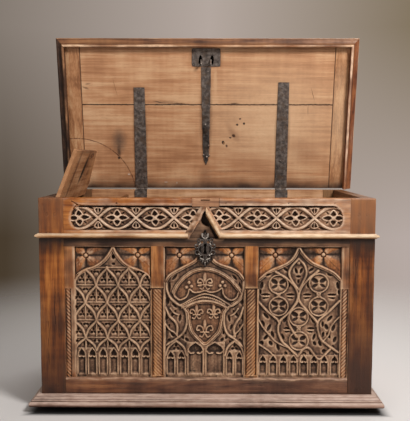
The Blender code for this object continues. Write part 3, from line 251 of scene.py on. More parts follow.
# Ovals under the lid: middle across and from the hinge, half sizes, turn, softness, shade, strength
LID_STAINS = (
    # Painted light, strongest right of the middle and on the right cleat
    (0.300, -0.330, 0.420, 0.330, 0, 1.0, "#EBC299", 0.75),
    (0.592, -0.330, 0.045, 0.330, 0, 1.0, "#EBC299", 0.5),
    # A reddish stain and a dark streak in it
    (0.180, -0.120, 0.260, 0.090, 0, 1.0, "#A5663E", 0.45),
    (0.130, -0.085, 0.200, 0.008, 0, 1.0, "#7E4C2F", 0.7),
    # The candle's burn
    (-0.400, -0.224, 0.042, 0.072, 0, 1.0, "#4E3E35", 1.1),
    (-0.402, -0.174, 0.012, 0.040, 0, 0.8, "#33251D", 0.9),
    # Short cracks
    (-0.410, -0.465, 0.0015, 0.050, -14, 0.5, "#84532F", 0.8),
    (0.468, -0.435, 0.0016, 0.038, -17, 0.5, "#6F4226", 0.8),
    (0.450, -0.368, 0.0016, 0.030, 0, 0.5, "#6F4226", 0.8),
    (0.010, -0.200, 0.0016, 0.040, 0, 0.5, "#7A4A2B", 0.7),
    # Holes and worm-eaten knots
    (-0.403, -0.146, 0.007, 0.007, 0, 0.4, "#20150F", 1.0),
    (0.147, -0.326, 0.006, 0.005, 0, 0.4, "#2A1A10", 1.0),
    (0.134, -0.300, 0.008, 0.006, 20, 0.4, "#2A1A10", 1.0),
    (0.165, -0.305, 0.007, 0.006, 0, 0.4, "#2A1A10", 1.0),
    (0.119, -0.250, 0.011, 0.009, 30, 0.4, "#1D120C", 1.0),
    (0.104, -0.240, 0.007, 0.004, 20, 0.4, "#2A1A10", 1.0),
    (0.072, -0.218, 0.011, 0.008, 70, 0.3, "#2F1D12", 1.0),
    (0.075, -0.216, 0.005, 0.005, 0, 0.4, "#A9774E", 1.0),
    (0.088, -0.203, 0.006, 0.008, 0, 0.4, "#4A2E1C", 0.9),
    (0.115, -0.262, 0.070, 0.020, 55, 1.0, "#7B4B2F", 0.55),
    # Dirt and chipped edges along the joint
    (-0.190, -0.398, 0.090, 0.012, 2, 1.0, "#5F3B25", 0.7),
    (-0.130, -0.394, 0.050, 0.003, 3, 0.6, "#2B190E", 0.9),
    (-0.220, -0.401, 0.030, 0.003, 12, 0.6, "#2B190E", 0.8),
    (0.120, -0.394, 0.030, 0.004, -2, 0.6, "#2B190E", 0.8),
    # Smudges, a warm stain, pale flecks and rubbed patches
    (-0.540, -0.462, 0.022, 0.006, 20, 0.7, "#6B482F", 0.8),
    (-0.530, -0.480, 0.016, 0.005, -10, 0.7, "#6B482F", 0.7),
    (0.450, -0.170, 0.110, 0.070, 20, 1.0, "#8A4E2A", 0.6),
    (-0.360, -0.070, 0.007, 0.005, 0, 0.5, "#E6D8C8", 0.9),
    (-0.190, -0.034, 0.009, 0.004, 0, 0.5, "#E6D8C8", 0.8),
    (-0.140, -0.030, 0.005, 0.004, 0, 0.5, "#E6D8C8", 0.8),
    (0.035, -0.490, 0.012, 0.080, 0, 0.5, "#DDB086", 0.6),
    (-0.010, -0.070, 0.040, 0.060, 0, 1.0, "#6E4029", 0.6),
)
# Ovals on the till's lid: middle out from its pivot and along it, then the same
TILL_STAINS = (
    (0.110, -0.230, 0.190, 0.060, 0, 0.5, "#C08A5E", 0.85),
    (0.100, -0.150, 0.200, 0.022, 0, 0.8, "#4F2F1D", 0.8),
    (0.205, 0.000, 0.018, 0.300, 0, 1.0, "#4A2E1E", 0.8),
    (0.100, 0.200, 0.130, 0.060, 0, 0.8, "#CC935F", 0.7),
    (0.124, 0.030, 0.085, 0.042, 14, 1.0, "#4A2B1A", 0.8),
    (0.124, 0.013, 0.078, 0.026, 12, 0.4, "#150B06", 1.0),
    (0.184, 0.098, 0.013, 0.040, 0, 0.3, "#2E1A10", 0.9),
    (0.184, 0.098, 0.008, 0.026, 0, 0.3, "#8C5A3A", 1.0),
)


def lid_marks(tree, place, colour):
    """What years left under the lid: a scraped arc, a candle's burn, worm-eaten knots, dirt."""
    flat = add(
        tree, "ShaderNodeMapping",
        {"Vector": place, "Location": tuple(HINGE), "Rotation": (LID_TURN, 0, 0)},
        vector_type="TEXTURE",
    )
    # Noise moves the marks' edges by 0 to 6 mm, so their places go on by its mean
    shift = 0.003
    ragged = add(tree, "ShaderNodeTexNoise", {"Vector": flat, "Scale": 90.0, "Detail": 3.0})
    bent = add(
        tree, "ShaderNodeVectorMath", {0: ragged.outputs["Color"], 1: (2 * shift,) * 3, 2: flat},
        operation="MULTIPLY_ADD",
    )
    parts = add(tree, "ShaderNodeSeparateXYZ", {0: flat})
    # The lid's outside was waxed like the rest
    clean = mark(tree, colour, 0.62, "#5C3921")
    # The till's lid has scraped an arc of 263 mm
    centre, radius = (0.5933, -0.0277, 0), 0.2635
    spoke = add(
        tree, "ShaderNodeMapping", {"Vector": flat, "Location": centre, "Scale": (1, 1, 0)}
    )
    spoke = add(tree, "ShaderNodeVectorMath", {0: spoke}, operation="LENGTH").outputs["Value"]
    scrape = stripe(tree, spoke, radius, 0.0012, 0.0032)
    broken = add(tree, "ShaderNodeMapRange", {0: ragged, 1: 0.40, 2: 0.55, 3: 0.35, 4: 0.9})
    scrape = add(tree, "ShaderNodeMath", {0: scrape, 1: broken}, operation="MULTIPLY")
    colour = mark(tree, colour, scrape, "#5A3119")
    colour = stains(tree, bent, colour, LID_STAINS, 0.012, shift)
    # Darker along the hinge edge, broad and faint, then narrow and dark
    cloud = add(tree, "ShaderNodeTexNoise", {"Vector": flat, "Scale": 9.0, "Detail": 4.0})
    for start, end, most, shade, strength in (
        (-0.070, -0.008, 1.0, "#3F281B", 1.3),
        (-0.040, -0.014, 1.4, "#33221A", 1.0),
    ):
        foot = add(
            tree, "ShaderNodeMapRange",
            {0: parts.outputs["Y"], 1: start, 2: end, 3: 0.0, 4: most},
        )
        foot = add(tree, "ShaderNodeMath", {0: foot, 1: cloud}, operation="MULTIPLY")
        colour = mark(tree, colour, foot, shade, strength)
    # Painted shadow and dirt beside the irons
    for x, y, wide, tall in (
        (STRAPS_X[0], -0.235, 0.040, 0.260),
        (STRAPS_X[1], -0.245, 0.040, 0.270),
        (LOCK_X, -0.595, 0.084, 0.062),
        (LOCK_X, -0.340, 0.034, 0.260),
    ):
        shape = oval(tree, bent, (x + shift, y, 0.0), (wide, tall, 0.012), 0, 0.35)
        colour = mark(tree, colour, shape, "#5A3823", 0.55)
    # Dark joints between the two boards and along the cleats
    lines = add(tree, "ShaderNodeSeparateXYZ", {0: bent}).outputs["Y"]
    side = add(tree, "ShaderNodeMath", {0: parts.outputs["X"]}, operation="ABSOLUTE")
    within = add(tree, "ShaderNodeMath", {0: side, 1: CLEAT_X - 0.0005}, operation="LESS_THAN")
    seam = stripe(tree, lines, LID_JOINT + shift, 0.0014, 0.0036)
    seam = add(tree, "ShaderNodeMath", {0: seam, 1: within}, operation="MULTIPLY")
    colour = mark(tree, colour, seam, "#2A170C", 0.95)
    seam = stripe(tree, side, CLEAT_X, 0.0008, 0.0030)
    colour = mark(tree, colour, seam, "#3A2113", 0.85)
    # All these marks are on the inside, and the outside begins 4 mm up in the board
    above = add(tree, "ShaderNodeMapRange", {0: parts.outputs["Z"], 1: 0.004, 2: 0.008})
    return add(tree, "ShaderNodeMix", {0: above, 6: colour, 7: clean}, data_type="RGBA").outputs[2]


def back_marks(tree, place, colour):
    """The outside of the back is darker than its bare inside."""
    deep = add(tree, "ShaderNodeSeparateXYZ", {0: place}).outputs["Y"]
    outside = add(tree, "ShaderNodeMapRange", {0: deep, 1: REAR_Y - 0.006, 2: REAR_Y - 0.002})
    return mark(tree, colour, outside, "#6A452A", 0.8)


def till_marks(tree, place, colour):
    """A long crack, a knot and dirt on the till's lid."""
    local = add(
        tree, "ShaderNodeMapping",
        {"Vector": place, "Location": tuple(TILL_PIVOT), "Rotation": (0, TILL_TURN, 0)},
        vector_type="TEXTURE",
    )
    return stains(tree, local, colour, TILL_STAINS, 0.030)


def stile_marks(tree, place, colour):
    """Upright posts grow darker towards the floor, and have a painted shadow under the string moulding.
    """
    parts = add(tree, "ShaderNodeSeparateXYZ", {0: place})
    height = parts.outputs["Z"]
    cloud = add(tree, "ShaderNodeTexNoise", {"Vector": place, "Scale": 7.0, "Detail": 5.0})
    foot = add(tree, "ShaderNodeMapRange", {0: height, 1: 0.50, 2: 0.08, 3: 0.0, 4: 1.5})
    foot = add(tree, "ShaderNodeMath", {0: foot, 1: cloud}, operation="MULTIPLY")
    colour = mark(tree, colour, foot, "#2E160B", 1.0)
    # The right post has painted light at its head and painted shade at its foot
    right = add(tree, "ShaderNodeMath", {0: parts.outputs["X"], 1: 0.0}, operation="GREATER_THAN")
    for low, high, shade, strength in ((0.60, 0.74, "#C08A60", 0.42), (0.52, 0.16, "#3C2418", 0.65)):
        share = add(tree, "ShaderNodeMapRange", {0: height, 1: low, 2: high})
        share = add(tree, "ShaderNodeMath", {0: share, 1: right}, operation="MULTIPLY")
        colour = mark(tree, colour, share, shade, strength)
    over = add(tree, "ShaderNodeMapRange", {0: height, 1: 0.645, 2: 0.70})
    colour = mark(tree, colour, over, "#805033", 0.42)
    # Painted shadow under the string moulding
    under = add(tree, "ShaderNodeMapRange", {0: height, 1: 0.575, 2: 0.640, 3: 0.0, 4: 1.0})
    below = add(tree, "ShaderNodeMath", {0: height, 1: 0.655}, operation="LESS_THAN")
    under = add(tree, "ShaderNodeMath", {0: under, 1: below}, operation="MULTIPLY")
    return mark(tree, colour, under, "#180C06", 0.9)


def forged_iron(name, tones, rust, rough=(0.42, 0.62), bright=None):
    """Hammered iron, blacked and dry: uneven dark scale, brown rust, pits and holes painted black as
    shade, edges brighter from wear and painted highlight.
    """
    material, tree = blank(name)
    place = add(tree, "ShaderNodeTexCoord").outputs["Object"]
    # Hammer marks 14 mm across, scale specks 3 mm across, pits under 2 mm
    hammer = add(tree, "ShaderNodeTexNoise", {"Vector": place, "Scale": 70.0, "Detail": 1.0})
    scale = add(tree, "ShaderNodeTexNoise", {"Vector": place, "Scale": 330.0, "Detail": 3.0})
    pits = add(tree, "ShaderNodeTexVoronoi", {"Vector": place, "Scale": 420.0})
    tone = add(
        tree, "ShaderNodeMath", {0: scale, 1: 0.6, 2: hammer}, operation="MULTIPLY_ADD"
    )
    colour = add(
        tree,
        "ShaderNodeValToRGB",
        {"Fac": tone},
        ramp=[(0.58, tones[0]), (0.80, tones[1]), (1.0, tones[2])],
    )
    rusty = add(tree, "ShaderNodeTexNoise", {"Vector": place, "Scale": 38.0, "Detail": 5.0})
    rusty = add(tree, "ShaderNodeMapRange", {0: rusty, 1: 0.50, 2: 0.68, 3: 0.0, 4: 0.8})
    rub = add(tree, "ShaderNodeAttribute", attribute_name="rub").outputs["Fac"]
    edge = add(tree, "ShaderNodeMath", {0: rub, 1: 0.7}, operation="MULTIPLY", use_clamp=True)
    pit = add(tree, "ShaderNodeMath", {0: rub, 1: -1.2}, operation="MULTIPLY", use_clamp=True)
    for factor, shade in ((rusty, rust), (edge, bright or tones[2]), (pit, "#0A0807")):
        colour = mark(tree, colour, factor, shade)
    gloss = add(
        tree, "ShaderNodeMapRange", {0: scale, 1: 0.3, 2: 0.7, 3: rough[0], 4: rough[1]}
    )
    # A hole gives nothing back
    glint = add(tree, "ShaderNodeMapRange", {0: pit, 1: 0.5, 2: 1.0, 3: 0.5, 4: 0.0})
    height = add(
        tree, "ShaderNodeMath", {0: pits.outputs["Distance"], 1: 0.35, 2: hammer},
        operation="MULTIPLY_ADD",
    )
    bump = add(tree, "ShaderNodeBump", {"Height": height, "Strength": 0.7, "Distance": 0.002})
    shader = add(
        tree,
        "ShaderNodeBsdfPrincipled",
        {
            "Base Color": colour, "Roughness": gloss, "Normal": bump, "Metallic": 0.45,
            "Specular IOR Level": glint,
        },
    )
    add(tree, "ShaderNodeOutputMaterial", {"Surface": shader})
    return material


# Posts of waxed oak, handled for centuries: deep red-brown with a greasy shine halfway up
WAXED_STILE = old_wood(
    "waxed_oak_upright", "z", ("#361808", "#703711", "#9C5820"), "#24140B", "#B07C50",
    (0.34, 0.56), marks=stile_marks,
)
# The bottom rail of waxed oak: a duller brown with knocks
WAXED_RAIL = old_wood(
    "waxed_oak_rail", "x", ("#331D13", "#583525", "#784E36"), "#22140C", "#B08A6E"
)
# Planed oak that was never waxed, in the back, the ends and the floor: matt mid brown
PLAIN_RAIL = old_wood(
    "plain_oak_rail", "x", ("#5C3C25", "#7B5434", "#94693F"), "#33200F", "#A87F58", (0.5, 0.7), 0.55
)
PLAIN_SIDE = old_wood(
    "plain_oak_side", "y", ("#5A381F", "#784D2C", "#93643B"), "#33200F", "#A87F58", (0.45, 0.66), 0.55
)
PLAIN_POST = old_wood(
    "plain_oak_post", "z", ("#5A3A23", "#7E5635", "#9A6F45"), "#33200F", "#A87F58", (0.5, 0.7), 0.55
)
# Carved oak: warm brown where it is flat, black in the cuts and pale on the ridges
ROPE_WOOD = old_wood(
    "carved_oak_upright", "z", ("#56321A", "#8C5A34", "#B07C4F"), "#2A180E", "#C79A70"
)
CARVED = old_wood(
    "carved_oak", "z", ("#4C3423", "#7D5941", "#A07B5D"), "#281910", "#CBA583", (0.44, 0.68), 0.4
)
CARVED_RAIL = old_wood(
    "carved_oak_rail", "x", ("#5A3B28", "#90694C", "#B78F6F"), "#21130B", "#E0BFA2", (0.42, 0.66), 0.6
)
# Bare planed oak inside the chest: matt and pale, pinkish on the lid, browner on the till
BARE_BOARD = old_wood(
    "bare_oak_board", "x", ("#A9744E", "#C58E64", "#DBAC82"), "#4C2E1B", "#E2B98F", (0.52, 0.72),
    0.5, marks=lid_marks,
)
BARE_CLEAT = old_wood(
    "bare_oak_cleat", "z", ("#8E5C39", "#B88055", "#D0A075"), "#432817", "#D9AE86", (0.5, 0.7),
    1.0, marks=lid_marks,
)
INSIDE_WOOD = old_wood(
    "bare_oak_inside", "x", ("#9C6843", "#C8956A", "#DCAE88"), "#5C3A24", "#E2B995", (0.5, 0.7),
    marks=back_marks,
)
TILL_WOOD = old_wood(
    "bare_oak_till", "y", ("#82522F", "#B07B52", "#CC9C73"), "#3A2214", "#D0A37C", (0.5, 0.7),
    0.8, marks=till_marks,
)
# The string moulding of planed oak, rubbed bare: a pale line, dusty on top, with painted top light
STRING_WOOD = old_wood(
    "rubbed_oak_string", "x", ("#8F5C33", "#C08C5C", "#DDB68C"), "#2E1B10", "#EBCFAC",
    (0.38, 0.58), 0.6, dust_and_top_light="#EDD3B4",
)
# The base moulding of planed oak, worn by feet: greyer, dusty and painted with top light on its steps
BASE_TONES = ("#523528", "#886554", "#A98674")
BASE_WOOD = old_wood(
    "worn_oak_base", "x", BASE_TONES, "#20130C", "#C9AC9B", (0.42, 0.66), 0.6, dust_and_top_light="#C4A998"
)
BASE_SIDE = old_wood(
    "worn_oak_base_side", "y", BASE_TONES, "#20130C", "#C9AC9B", (0.42, 0.66), 0.6, dust_and_top_light="#C4A998"
)
# The lid's lips of waxed oak: dark and smooth, bright where hands have worn the edges, with a painted
# highlight on the worn bead
LIP_WOOD = old_wood(
    "waxed_oak_lip", "x", ("#56311B", "#8D5B38", "#AF7A4F"), "#1B0F08", "#F0C6A0", (0.34, 0.58)
)
LIP_SIDE = old_wood(
    "waxed_oak_lip_side", "z", ("#4A2412", "#7A4122", "#9C5E36"), "#1B0F08", "#EFC8A8", (0.32, 0.56)
)
# The left lip: the same waxed oak painted near black as shade
SHADED_LIP = old_wood(
    "shaded_oak_lip", "z", ("#24160E", "#432A1C", "#66452F"), "#120A06", "#C98F62", (0.34, 0.58)
)
# A repair of newer planed oak: lighter and cleaner than the wood about it
BLOCK_WOOD = old_wood(
    "repair_oak_block", "x", ("#865B40", "#B5835F", "#D0A17D"), "#3A261A", "#DCB898", (0.5, 0.7), 0.8
)
# The oak bearers, painted almost black as the shade under the chest, and matt
SHADE_BLACK_OAK = old_wood(
    "shade_black_oak", "x", ("#0D0906", "#1A120D", "#2A1E16"), "#080504", "#2A1E16", (0.7, 0.85)
)
# Wrought iron, forged and dry: an uneven dull grey with brown rust
IRON = forged_iron("forged_iron", ("#473F3A", "#675B54", "#83776E"), "#5E4939")
# Wrought iron, blacked: near black, with painted highlights on its edges and scrolls
BLACK_IRON = forged_iron(
    "blackened_iron", ("#1C1613", "#3B302B", "#5A4D46"), "#35261E", (0.30, 0.46), "#E0D4C6"
)
# Wrought iron, rubbed: lighter and smoother
BRIGHT_IRON = forged_iron("rubbed_iron", ("#5F544D", "#9A8B80", "#CDBFB3"), "#8A6450", (0.3, 0.5))

# Helpers for making pieces


def finish_piece(name, bm, material, body, nodes=(), sharp=34.0, pose=None):
    """Turn a bmesh into a finished piece that rides on a body and stands for CAD nodes."""
    bmesh.ops.remove_doubles(bm, verts=bm.verts, dist=0.00002)
    bmesh.ops.recalc_face_normals(bm, faces=bm.faces)
    if pose:
        bmesh.ops.transform(bm, matrix=pose, verts=bm.verts)
    for face in bm.faces:
        face.smooth = True
    mesh = bpy.data.meshes.new(name)
    bm.to_mesh(mesh)
    bm.free()
    mesh.set_sharp_from_angle(angle=math.radians(sharp))
    piece = bpy.data.objects.new(name, mesh)
    bpy.context.scene.collection.objects.link(piece)
    mesh.materials.append(material)
    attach(piece, body)
    if nodes:
        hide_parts(*nodes)


def through(points, closed=False, step=2.0):
    """A smooth line through given points, as close points, in millimetres."""
    p = np.array(points, float)
    if closed:
        p = np.vstack([p[-1], p, p[0], p[1]])
    else:
        p = np.vstack([2 * p[0] - p[1], p, 2 * p[-1] - p[-2]])
    line = []
    for a, b, c, d in zip(p, p[1:], p[2:], p[3:]):
        count = max(2, int(np.hypot(*(c - b)) / step))
        t = np.linspace(0, 1, count, endpoint=False)[:, None]
        bend = (2 * a - 5 * b + 4 * c - d) * t**2 + (3 * b - a - 3 * c + d) * t**3
        line.append(b + ((c - a) * t + bend) / 2)
    return np.vstack([*line, p[-2][None]])


def ring(x, z, radius, start=0, end=360, squash=1.0):
    """An arc about a centre, in millimetres and degrees."""
    turns = np.radians(np.linspace(start, end, max(6, int(abs(end - start) / 12))))
    return np.stack([x + radius * np.cos(turns), z + radius * squash * np.sin(turns)], 1)


def polar(x, z, reach, angle):
    """The point at a distance and an angle in radians from a centre."""
    return x + reach * math.cos(angle), z + reach * math.sin(angle)


def sided(points, x, z, side=1, wide=1.0, tall=1.0):
    """Points set out from a place and scaled, mirrored where the side is -1."""
    return [(x + side * across * wide, z + up * tall) for across, up in points]


def blur(field, reach):
    """The mean of a field over a square of 2 * reach + 1 cells, taken twice."""
    span = 2 * reach + 1
    for _ in range(2):
        for axis in (0, 1):
            margin = [(reach + 1, reach) if a == axis else (0, 0) for a in (0, 1)]
            total = np.cumsum(np.pad(field, margin, "edge"), axis)
            count = field.shape[axis]
            first = np.take(total, range(count), axis)
            last = np.take(total, range(span, span + count), axis)
            field = (last - first) / span
    return field


class Carving:
    """A carved face as heights over a net, in millimetres; x across, z up from the rim."""

    def __init__(self, x_pair, z_pair, step=1.7, seed=1):
        self.columns = int((x_pair[1] - x_pair[0]) / step)
        self.rows = int((z_pair[1] - z_pair[0]) / step)
        self.x, self.z = np.meshgrid(
            np.linspace(*x_pair, self.columns + 1), np.linspace(*z_pair, self.rows + 1)
        )
        self.height = np.zeros_like(self.x)
        # From -1 in a hollow dark with dirt and painted shade to 1 on a ridge pale from wear and painted
        # light
        self.rub = np.zeros_like(self.x)
        # From 0 where the wood is dry to 1 where hands and wax have polished it
        self.polish = np.zeros_like(self.x)
        self.chance = np.random.default_rng(seed)

    def near(self, line, reach):
        """The cells near a line, and how far they are from it and along it."""
        line = np.asarray(line, float)
        low, high = line.min(0) - reach, line.max(0) + reach
        rows, cols = np.nonzero(
            (self.x > low[0]) & (self.x < high[0]) & (self.z > low[1]) & (self.z < high[1])
        )
        px, pz = self.x[rows, cols], self.z[rows, cols]
        best, place, run = np.full(px.shape, 1e3), np.zeros(px.shape), 0.0
        for a, b in zip(line, line[1:]):
            d = b - a
            length = max(np.hypot(*d), 1e-6)
            t = np.clip(((px - a[0]) * d[0] + (pz - a[1]) * d[1]) / length**2, 0, 1)
            away = np.hypot(px - a[0] - t * d[0], pz - a[1] - t * d[1])
            place = np.where(away < best, run + t * length, place)
            best = np.minimum(best, away)
            run += length
        keep = best < reach
        return rows[keep], cols[keep], best[keep], place[keep] / max(run, 1e-6)

    def inside(self, outline):
        """Which cells lie inside a closed outline."""
        result = np.zeros(self.x.shape, bool)
        outline = np.asarray(outline, float)
        for (x0, z0), (x1, z1) in zip(outline, np.roll(outline, -1, 0)):
            if z0 != z1:
                crosses = (z0 > self.z) != (z1 > self.z)
                result ^= crosses & (self.x < (x1 - x0) * (self.z - z0) / (z1 - z0) + x0)
        return result

    def raise_rib(self, line, section, within=None, sag=0.0):
        """Raise a rib along a line to its section of (distance, height) pairs."""
        rows, cols, away, place = self.near(line, section[-1][0])
        top = np.interp(away, *zip(*section)) - sag * np.sin(np.pi * place)
        top = np.maximum(self.height[rows, cols], top)
        if within is not None:
            top = np.where(within[rows, cols], top, self.height[rows, cols])
        self.height[rows, cols] = top

    def cut(self, line, depth, half, within=None):
        """Cut a round-bottomed groove along a line."""
        rows, cols, away, _ = self.near(line, half)
        drop = depth * (1 - (away / half) ** 2)
        if within is not None:
            drop = drop * within[rows, cols]
        self.height[rows, cols] -= drop

    def spread(self, x, z, radius):
        """Each cell's squared distance from a point, 1 at an oval's edge, and its least radius.

        The radius is one number, or (across, up, turn in degrees).
        """
        wide, tall, turn = radius if isinstance(radius, tuple) else (radius, radius, 0)
        c, s = math.cos(math.radians(turn)), math.sin(math.radians(turn))
        dx, dz = self.x - x, self.z - z
        away = ((dx * c + dz * s) / wide) ** 2 + ((dz * c - dx * s) / tall) ** 2
        return away, min(wide, tall)

    def boss(self, x, z, radius, top, within=True):
        """Raise a round knob or a leaf."""
        away, least = self.spread(x, z, radius)
        swell = least * 1.1
        knob = top - swell + swell * np.sqrt(np.clip(1 - away, 0, 1))
        self.height = np.where((away < 1) & within, np.maximum(self.height, knob), self.height)

    def hollow(self, x, z, radius, depth=-13.5, within=True):
        """Sink a round or oval hole with sloping walls."""
        away, _ = self.spread(x, z, radius)
        bowl = depth + 9.0 * np.clip((away - 0.45) / 0.9, 0, 1)
        self.height = np.where((away < 1.35) & within, np.minimum(self.height, bowl), self.height)

    def trefoil(self, x, z, size, turn, within):
        """Sink three holes about a point, the first one in the direction of the turn."""
        for k in range(3):
            angle = math.radians(turn + 120 * k)
            lobe = (size * 0.46, size * 0.34, math.degrees(angle))
            self.hollow(*polar(x, z, size * 0.52, angle), lobe, within=within)

    def tool_marks(self, depth=0.45, rub=1.0, flank_light=0.0):
        """Add the unevenness of hand tools, and set where hollows are dark from dirt and painted shade
        and ridges pale from wear.

        The last argument is how much light is painted on the slopes that face up and right, and shade on
        those below.
        """
        rough = blur(self.chance.normal(size=self.x.shape), 1)
        broad = blur(self.chance.normal(size=self.x.shape), 6)
        cutting = np.clip(-self.height / 4, 0.15, 1)
        self.height += depth * cutting * (rough / rough.std() * 0.45 + broad / broad.std() * 0.55)
        self.height = np.minimum(self.height, 0.0)
        # Hollows darker from dirt and painted shade, deep cuts darkest, ridges paler from wear
        hollow = self.height - blur(self.height, 3)
        wide = self.height - blur(self.height, 9)
        deep = np.clip((-self.height - 7) / 9, 0, 1)
        soft = blur(self.chance.normal(size=self.x.shape), 8)
        self.rub += rub * (
            np.clip(hollow / 1.7, -0.7, 0.75) + np.clip(wide / 7, -0.4, 0.4) - 0.35 * deep
        ) + 0.12 * soft / soft.std()
        if flank_light:
            # Painted light on slopes facing up and right, painted shade on those facing down and left
            up, right = np.gradient(blur(self.height, 1))
            self.rub -= flank_light * np.clip((up + right) / 2.5, -1, 1) + 0.12

    def piece(
        self, name, node, material, slot, front=FRONT_Y, back=FRAME_BACK, keep=None, pose=None
    ):
        """Make the carved block: the net of heights in front, straight sides and a flat back.

        With a pose it faces down under the shut lid; only what the keep mask holds is made.
        """
        bm = bmesh.new()
        bmesh.ops.create_grid(bm, x_segments=self.columns, y_segments=self.rows, size=0.5)
        rub = bm.verts.layers.float.new("rub")
        polish = bm.verts.layers.float.new("polish")
        lost = []
        for v in bm.verts:
            i = round((v.co.x + 0.5) * self.columns)
            j = round((v.co.y + 0.5) * self.rows)
            v[rub] = max(-1.0, min(1.0, self.rub[j, i]))
            v[polish] = self.polish[j, i]
            across, up = self.x[j, i] / 1000, self.z[j, i] / 1000
            deep = front - self.height[j, i] / 1000
            v.co = (across, up, deep) if pose else (across, deep, RIM_Z + up)
            if keep is not None and not keep[j, i]:
                lost.append(v)
        bmesh.ops.delete(bm, geom=lost, context="VERTS")
        if keep is None:
            border = [e for e in bm.edges if e.is_boundary]
            made = bmesh.ops.extrude_edge_only(bm, edges=border)["geom"]
        else:
            border = [v for v in bm.verts if v.is_boundary]
            for _ in range(3):
                bmesh.ops.smooth_vert(
                    bm, verts=border, factor=0.5, use_axis_x=True, use_axis_y=bool(pose),
                    use_axis_z=not pose,
                )
            made = bmesh.ops.extrude_face_region(bm, geom=bm.faces[:], use_keep_orig=True)["geom"]
        for v in made:
            if isinstance(v, bmesh.types.BMVert):
                v.co[2 if pose else 1] = back
                v[rub] = 0.0
        if keep is None:
            bmesh.ops.holes_fill(bm, edges=[e for e in bm.edges if e.is_boundary], sides=0)
        body = "lid" if pose else "carcass"
        finish_piece(name, bm, material, body, (node,), sharp=60.0, pose=pose)


# Rib sections as (distance from the middle, height) pairs in millimetres
MAIN_RIB = [(0, -0.4), (1.5, -0.9), (3.2, -3.0), (4.8, -6.0), (6.4, -11.0), (7.8, -14.0)]
SLIM_RIB = [(0, -1.6), (1.3, -2.0), (2.4, -4.6), (3.8, -9.0), (5.2, -14.0)]
ARCH_RIB = [
    (0, -0.4), (2.4, -0.6), (3.4, -3.4), (4.6, -4.6), (6.0, -2.6), (7.8, -2.8), (9.4, -7.0),
    (13, -14.5),
]
CROWN_RIB = [(0, -0.5), (1.6, -0.8), (2.8, -4.0), (4.0, -4.4), (5.2, -2.6), (6.6, -3.0), (8.5, -10)]
SHIELD_RIB = [(0, -0.6), (1.8, -1.0), (3.0, -5.0), (4.4, -4.4), (5.6, -2.8), (6.8, -3.2), (8.5, -10)]
WAVE_RIB = [(0, -0.3), (2.8, -0.7), (4.0, -3.2), (5.4, -6.5), (7.0, -12)]
# The floor of a tracery field
FILL = -6.8


def rope(c, x_pair, z_pair, lean, pitch=14.0, depth=2.0):
    """Carve a half-round column with slanting strands."""
    middle, half = sum(x_pair) / 2, (x_pair[1] - x_pair[0]) / 2
    u = (c.x - middle) / half
    area = (np.abs(u) <= 1) & (c.z > z_pair[0]) & (c.z < z_pair[1])
    turned = np.arcsin(np.clip(u, -1, 1)) * half
    strand = np.abs(np.cos(np.pi * (c.z + lean * turned) / pitch))
    column = -half * 0.42 * (1 - np.sqrt(np.clip(1 - u**2, 0, 1))) - depth * (1 - strand) ** 0.8
    c.height = np.where(area, column - 0.2, c.height)
    c.rub += np.where(area, 0.22 * strand - 0.08, 0.0)


def arched_field(c, x_pair, arch, balls):
    """Sink the tracery field under its ogee arch, with two leafy corners; returns the field."""
    x0, x1 = x_pair
    top, bottom = -181.0, -676.0
    inner = c.inside([*arch, (x1, bottom), (x0, bottom)])
    corners = (c.x > x0) & (c.x < x1) & (c.z < top) & (c.z > bottom) & ~inner
    border = np.minimum.reduce([c.x - x0, x1 - c.x, top - c.z])
    leaf = np.full(c.x.shape, -6.5)
    for x, z in balls:
        dx, dz = c.x - x, c.z - z
        angle = np.arctan2(dz, dx)
        away = np.hypot(dx, dz)
        fold = np.abs(np.sin(2 * angle)) ** 0.8
        vein = 1.6 * np.clip(1 - np.abs(away * np.cos(2 * angle)) / 2.2, 0, 1)
        petal = -8.6 + 7.6 * fold - 0.09 * np.clip(away - 10, 0, 26) - vein
        nearer = away < np.hypot(c.x - (sum(x_pair) - x), dz)
        leaf = np.where(nearer, petal, leaf)
    leaf = np.where(border < 3.2, -6.5, leaf)
    c.height = np.where(corners, leaf, c.height)
    c.polish = np.where(corners & (leaf > -5.5), 1.0, c.polish)
    for x, z in balls:
        c.hollow(x, z, 12, -9.0, within=corners)
        c.boss(x, z, 8.2, -0.1, within=corners)
        c.rub += np.where(np.hypot(c.x - x, c.z - z) < 7, 0.45, 0.0)
    c.rub -= np.where(corners, 0.55 * np.clip(1 - (top - c.z) / 26, 0, 1), 0.0)
    c.height = np.where(inner, FILL, c.height)
    c.raise_rib(arch, ARCH_RIB, within=inner)
    c.raise_rib(arch, [(0, -0.4), (2.6, -0.8), (4.2, -6.5)], within=~inner)
    rows, cols, away, _ = c.near(arch, 6)
    c.polish[rows, cols] = np.maximum(c.polish[rows, cols], 0.6 * (away < 5))
    left, right = arch[0][1], arch[-1][1]
    for x in (x0, x1):
        c.raise_rib([(x, left), (x, bottom)], [(0, -0.8), (2.0, -1.2), (4, -6), (7, -13)], inner)
    c.cut([(x0, left), (x0, top), (x1, top), (x1, right)], 2.6, 2.4)
    return inner


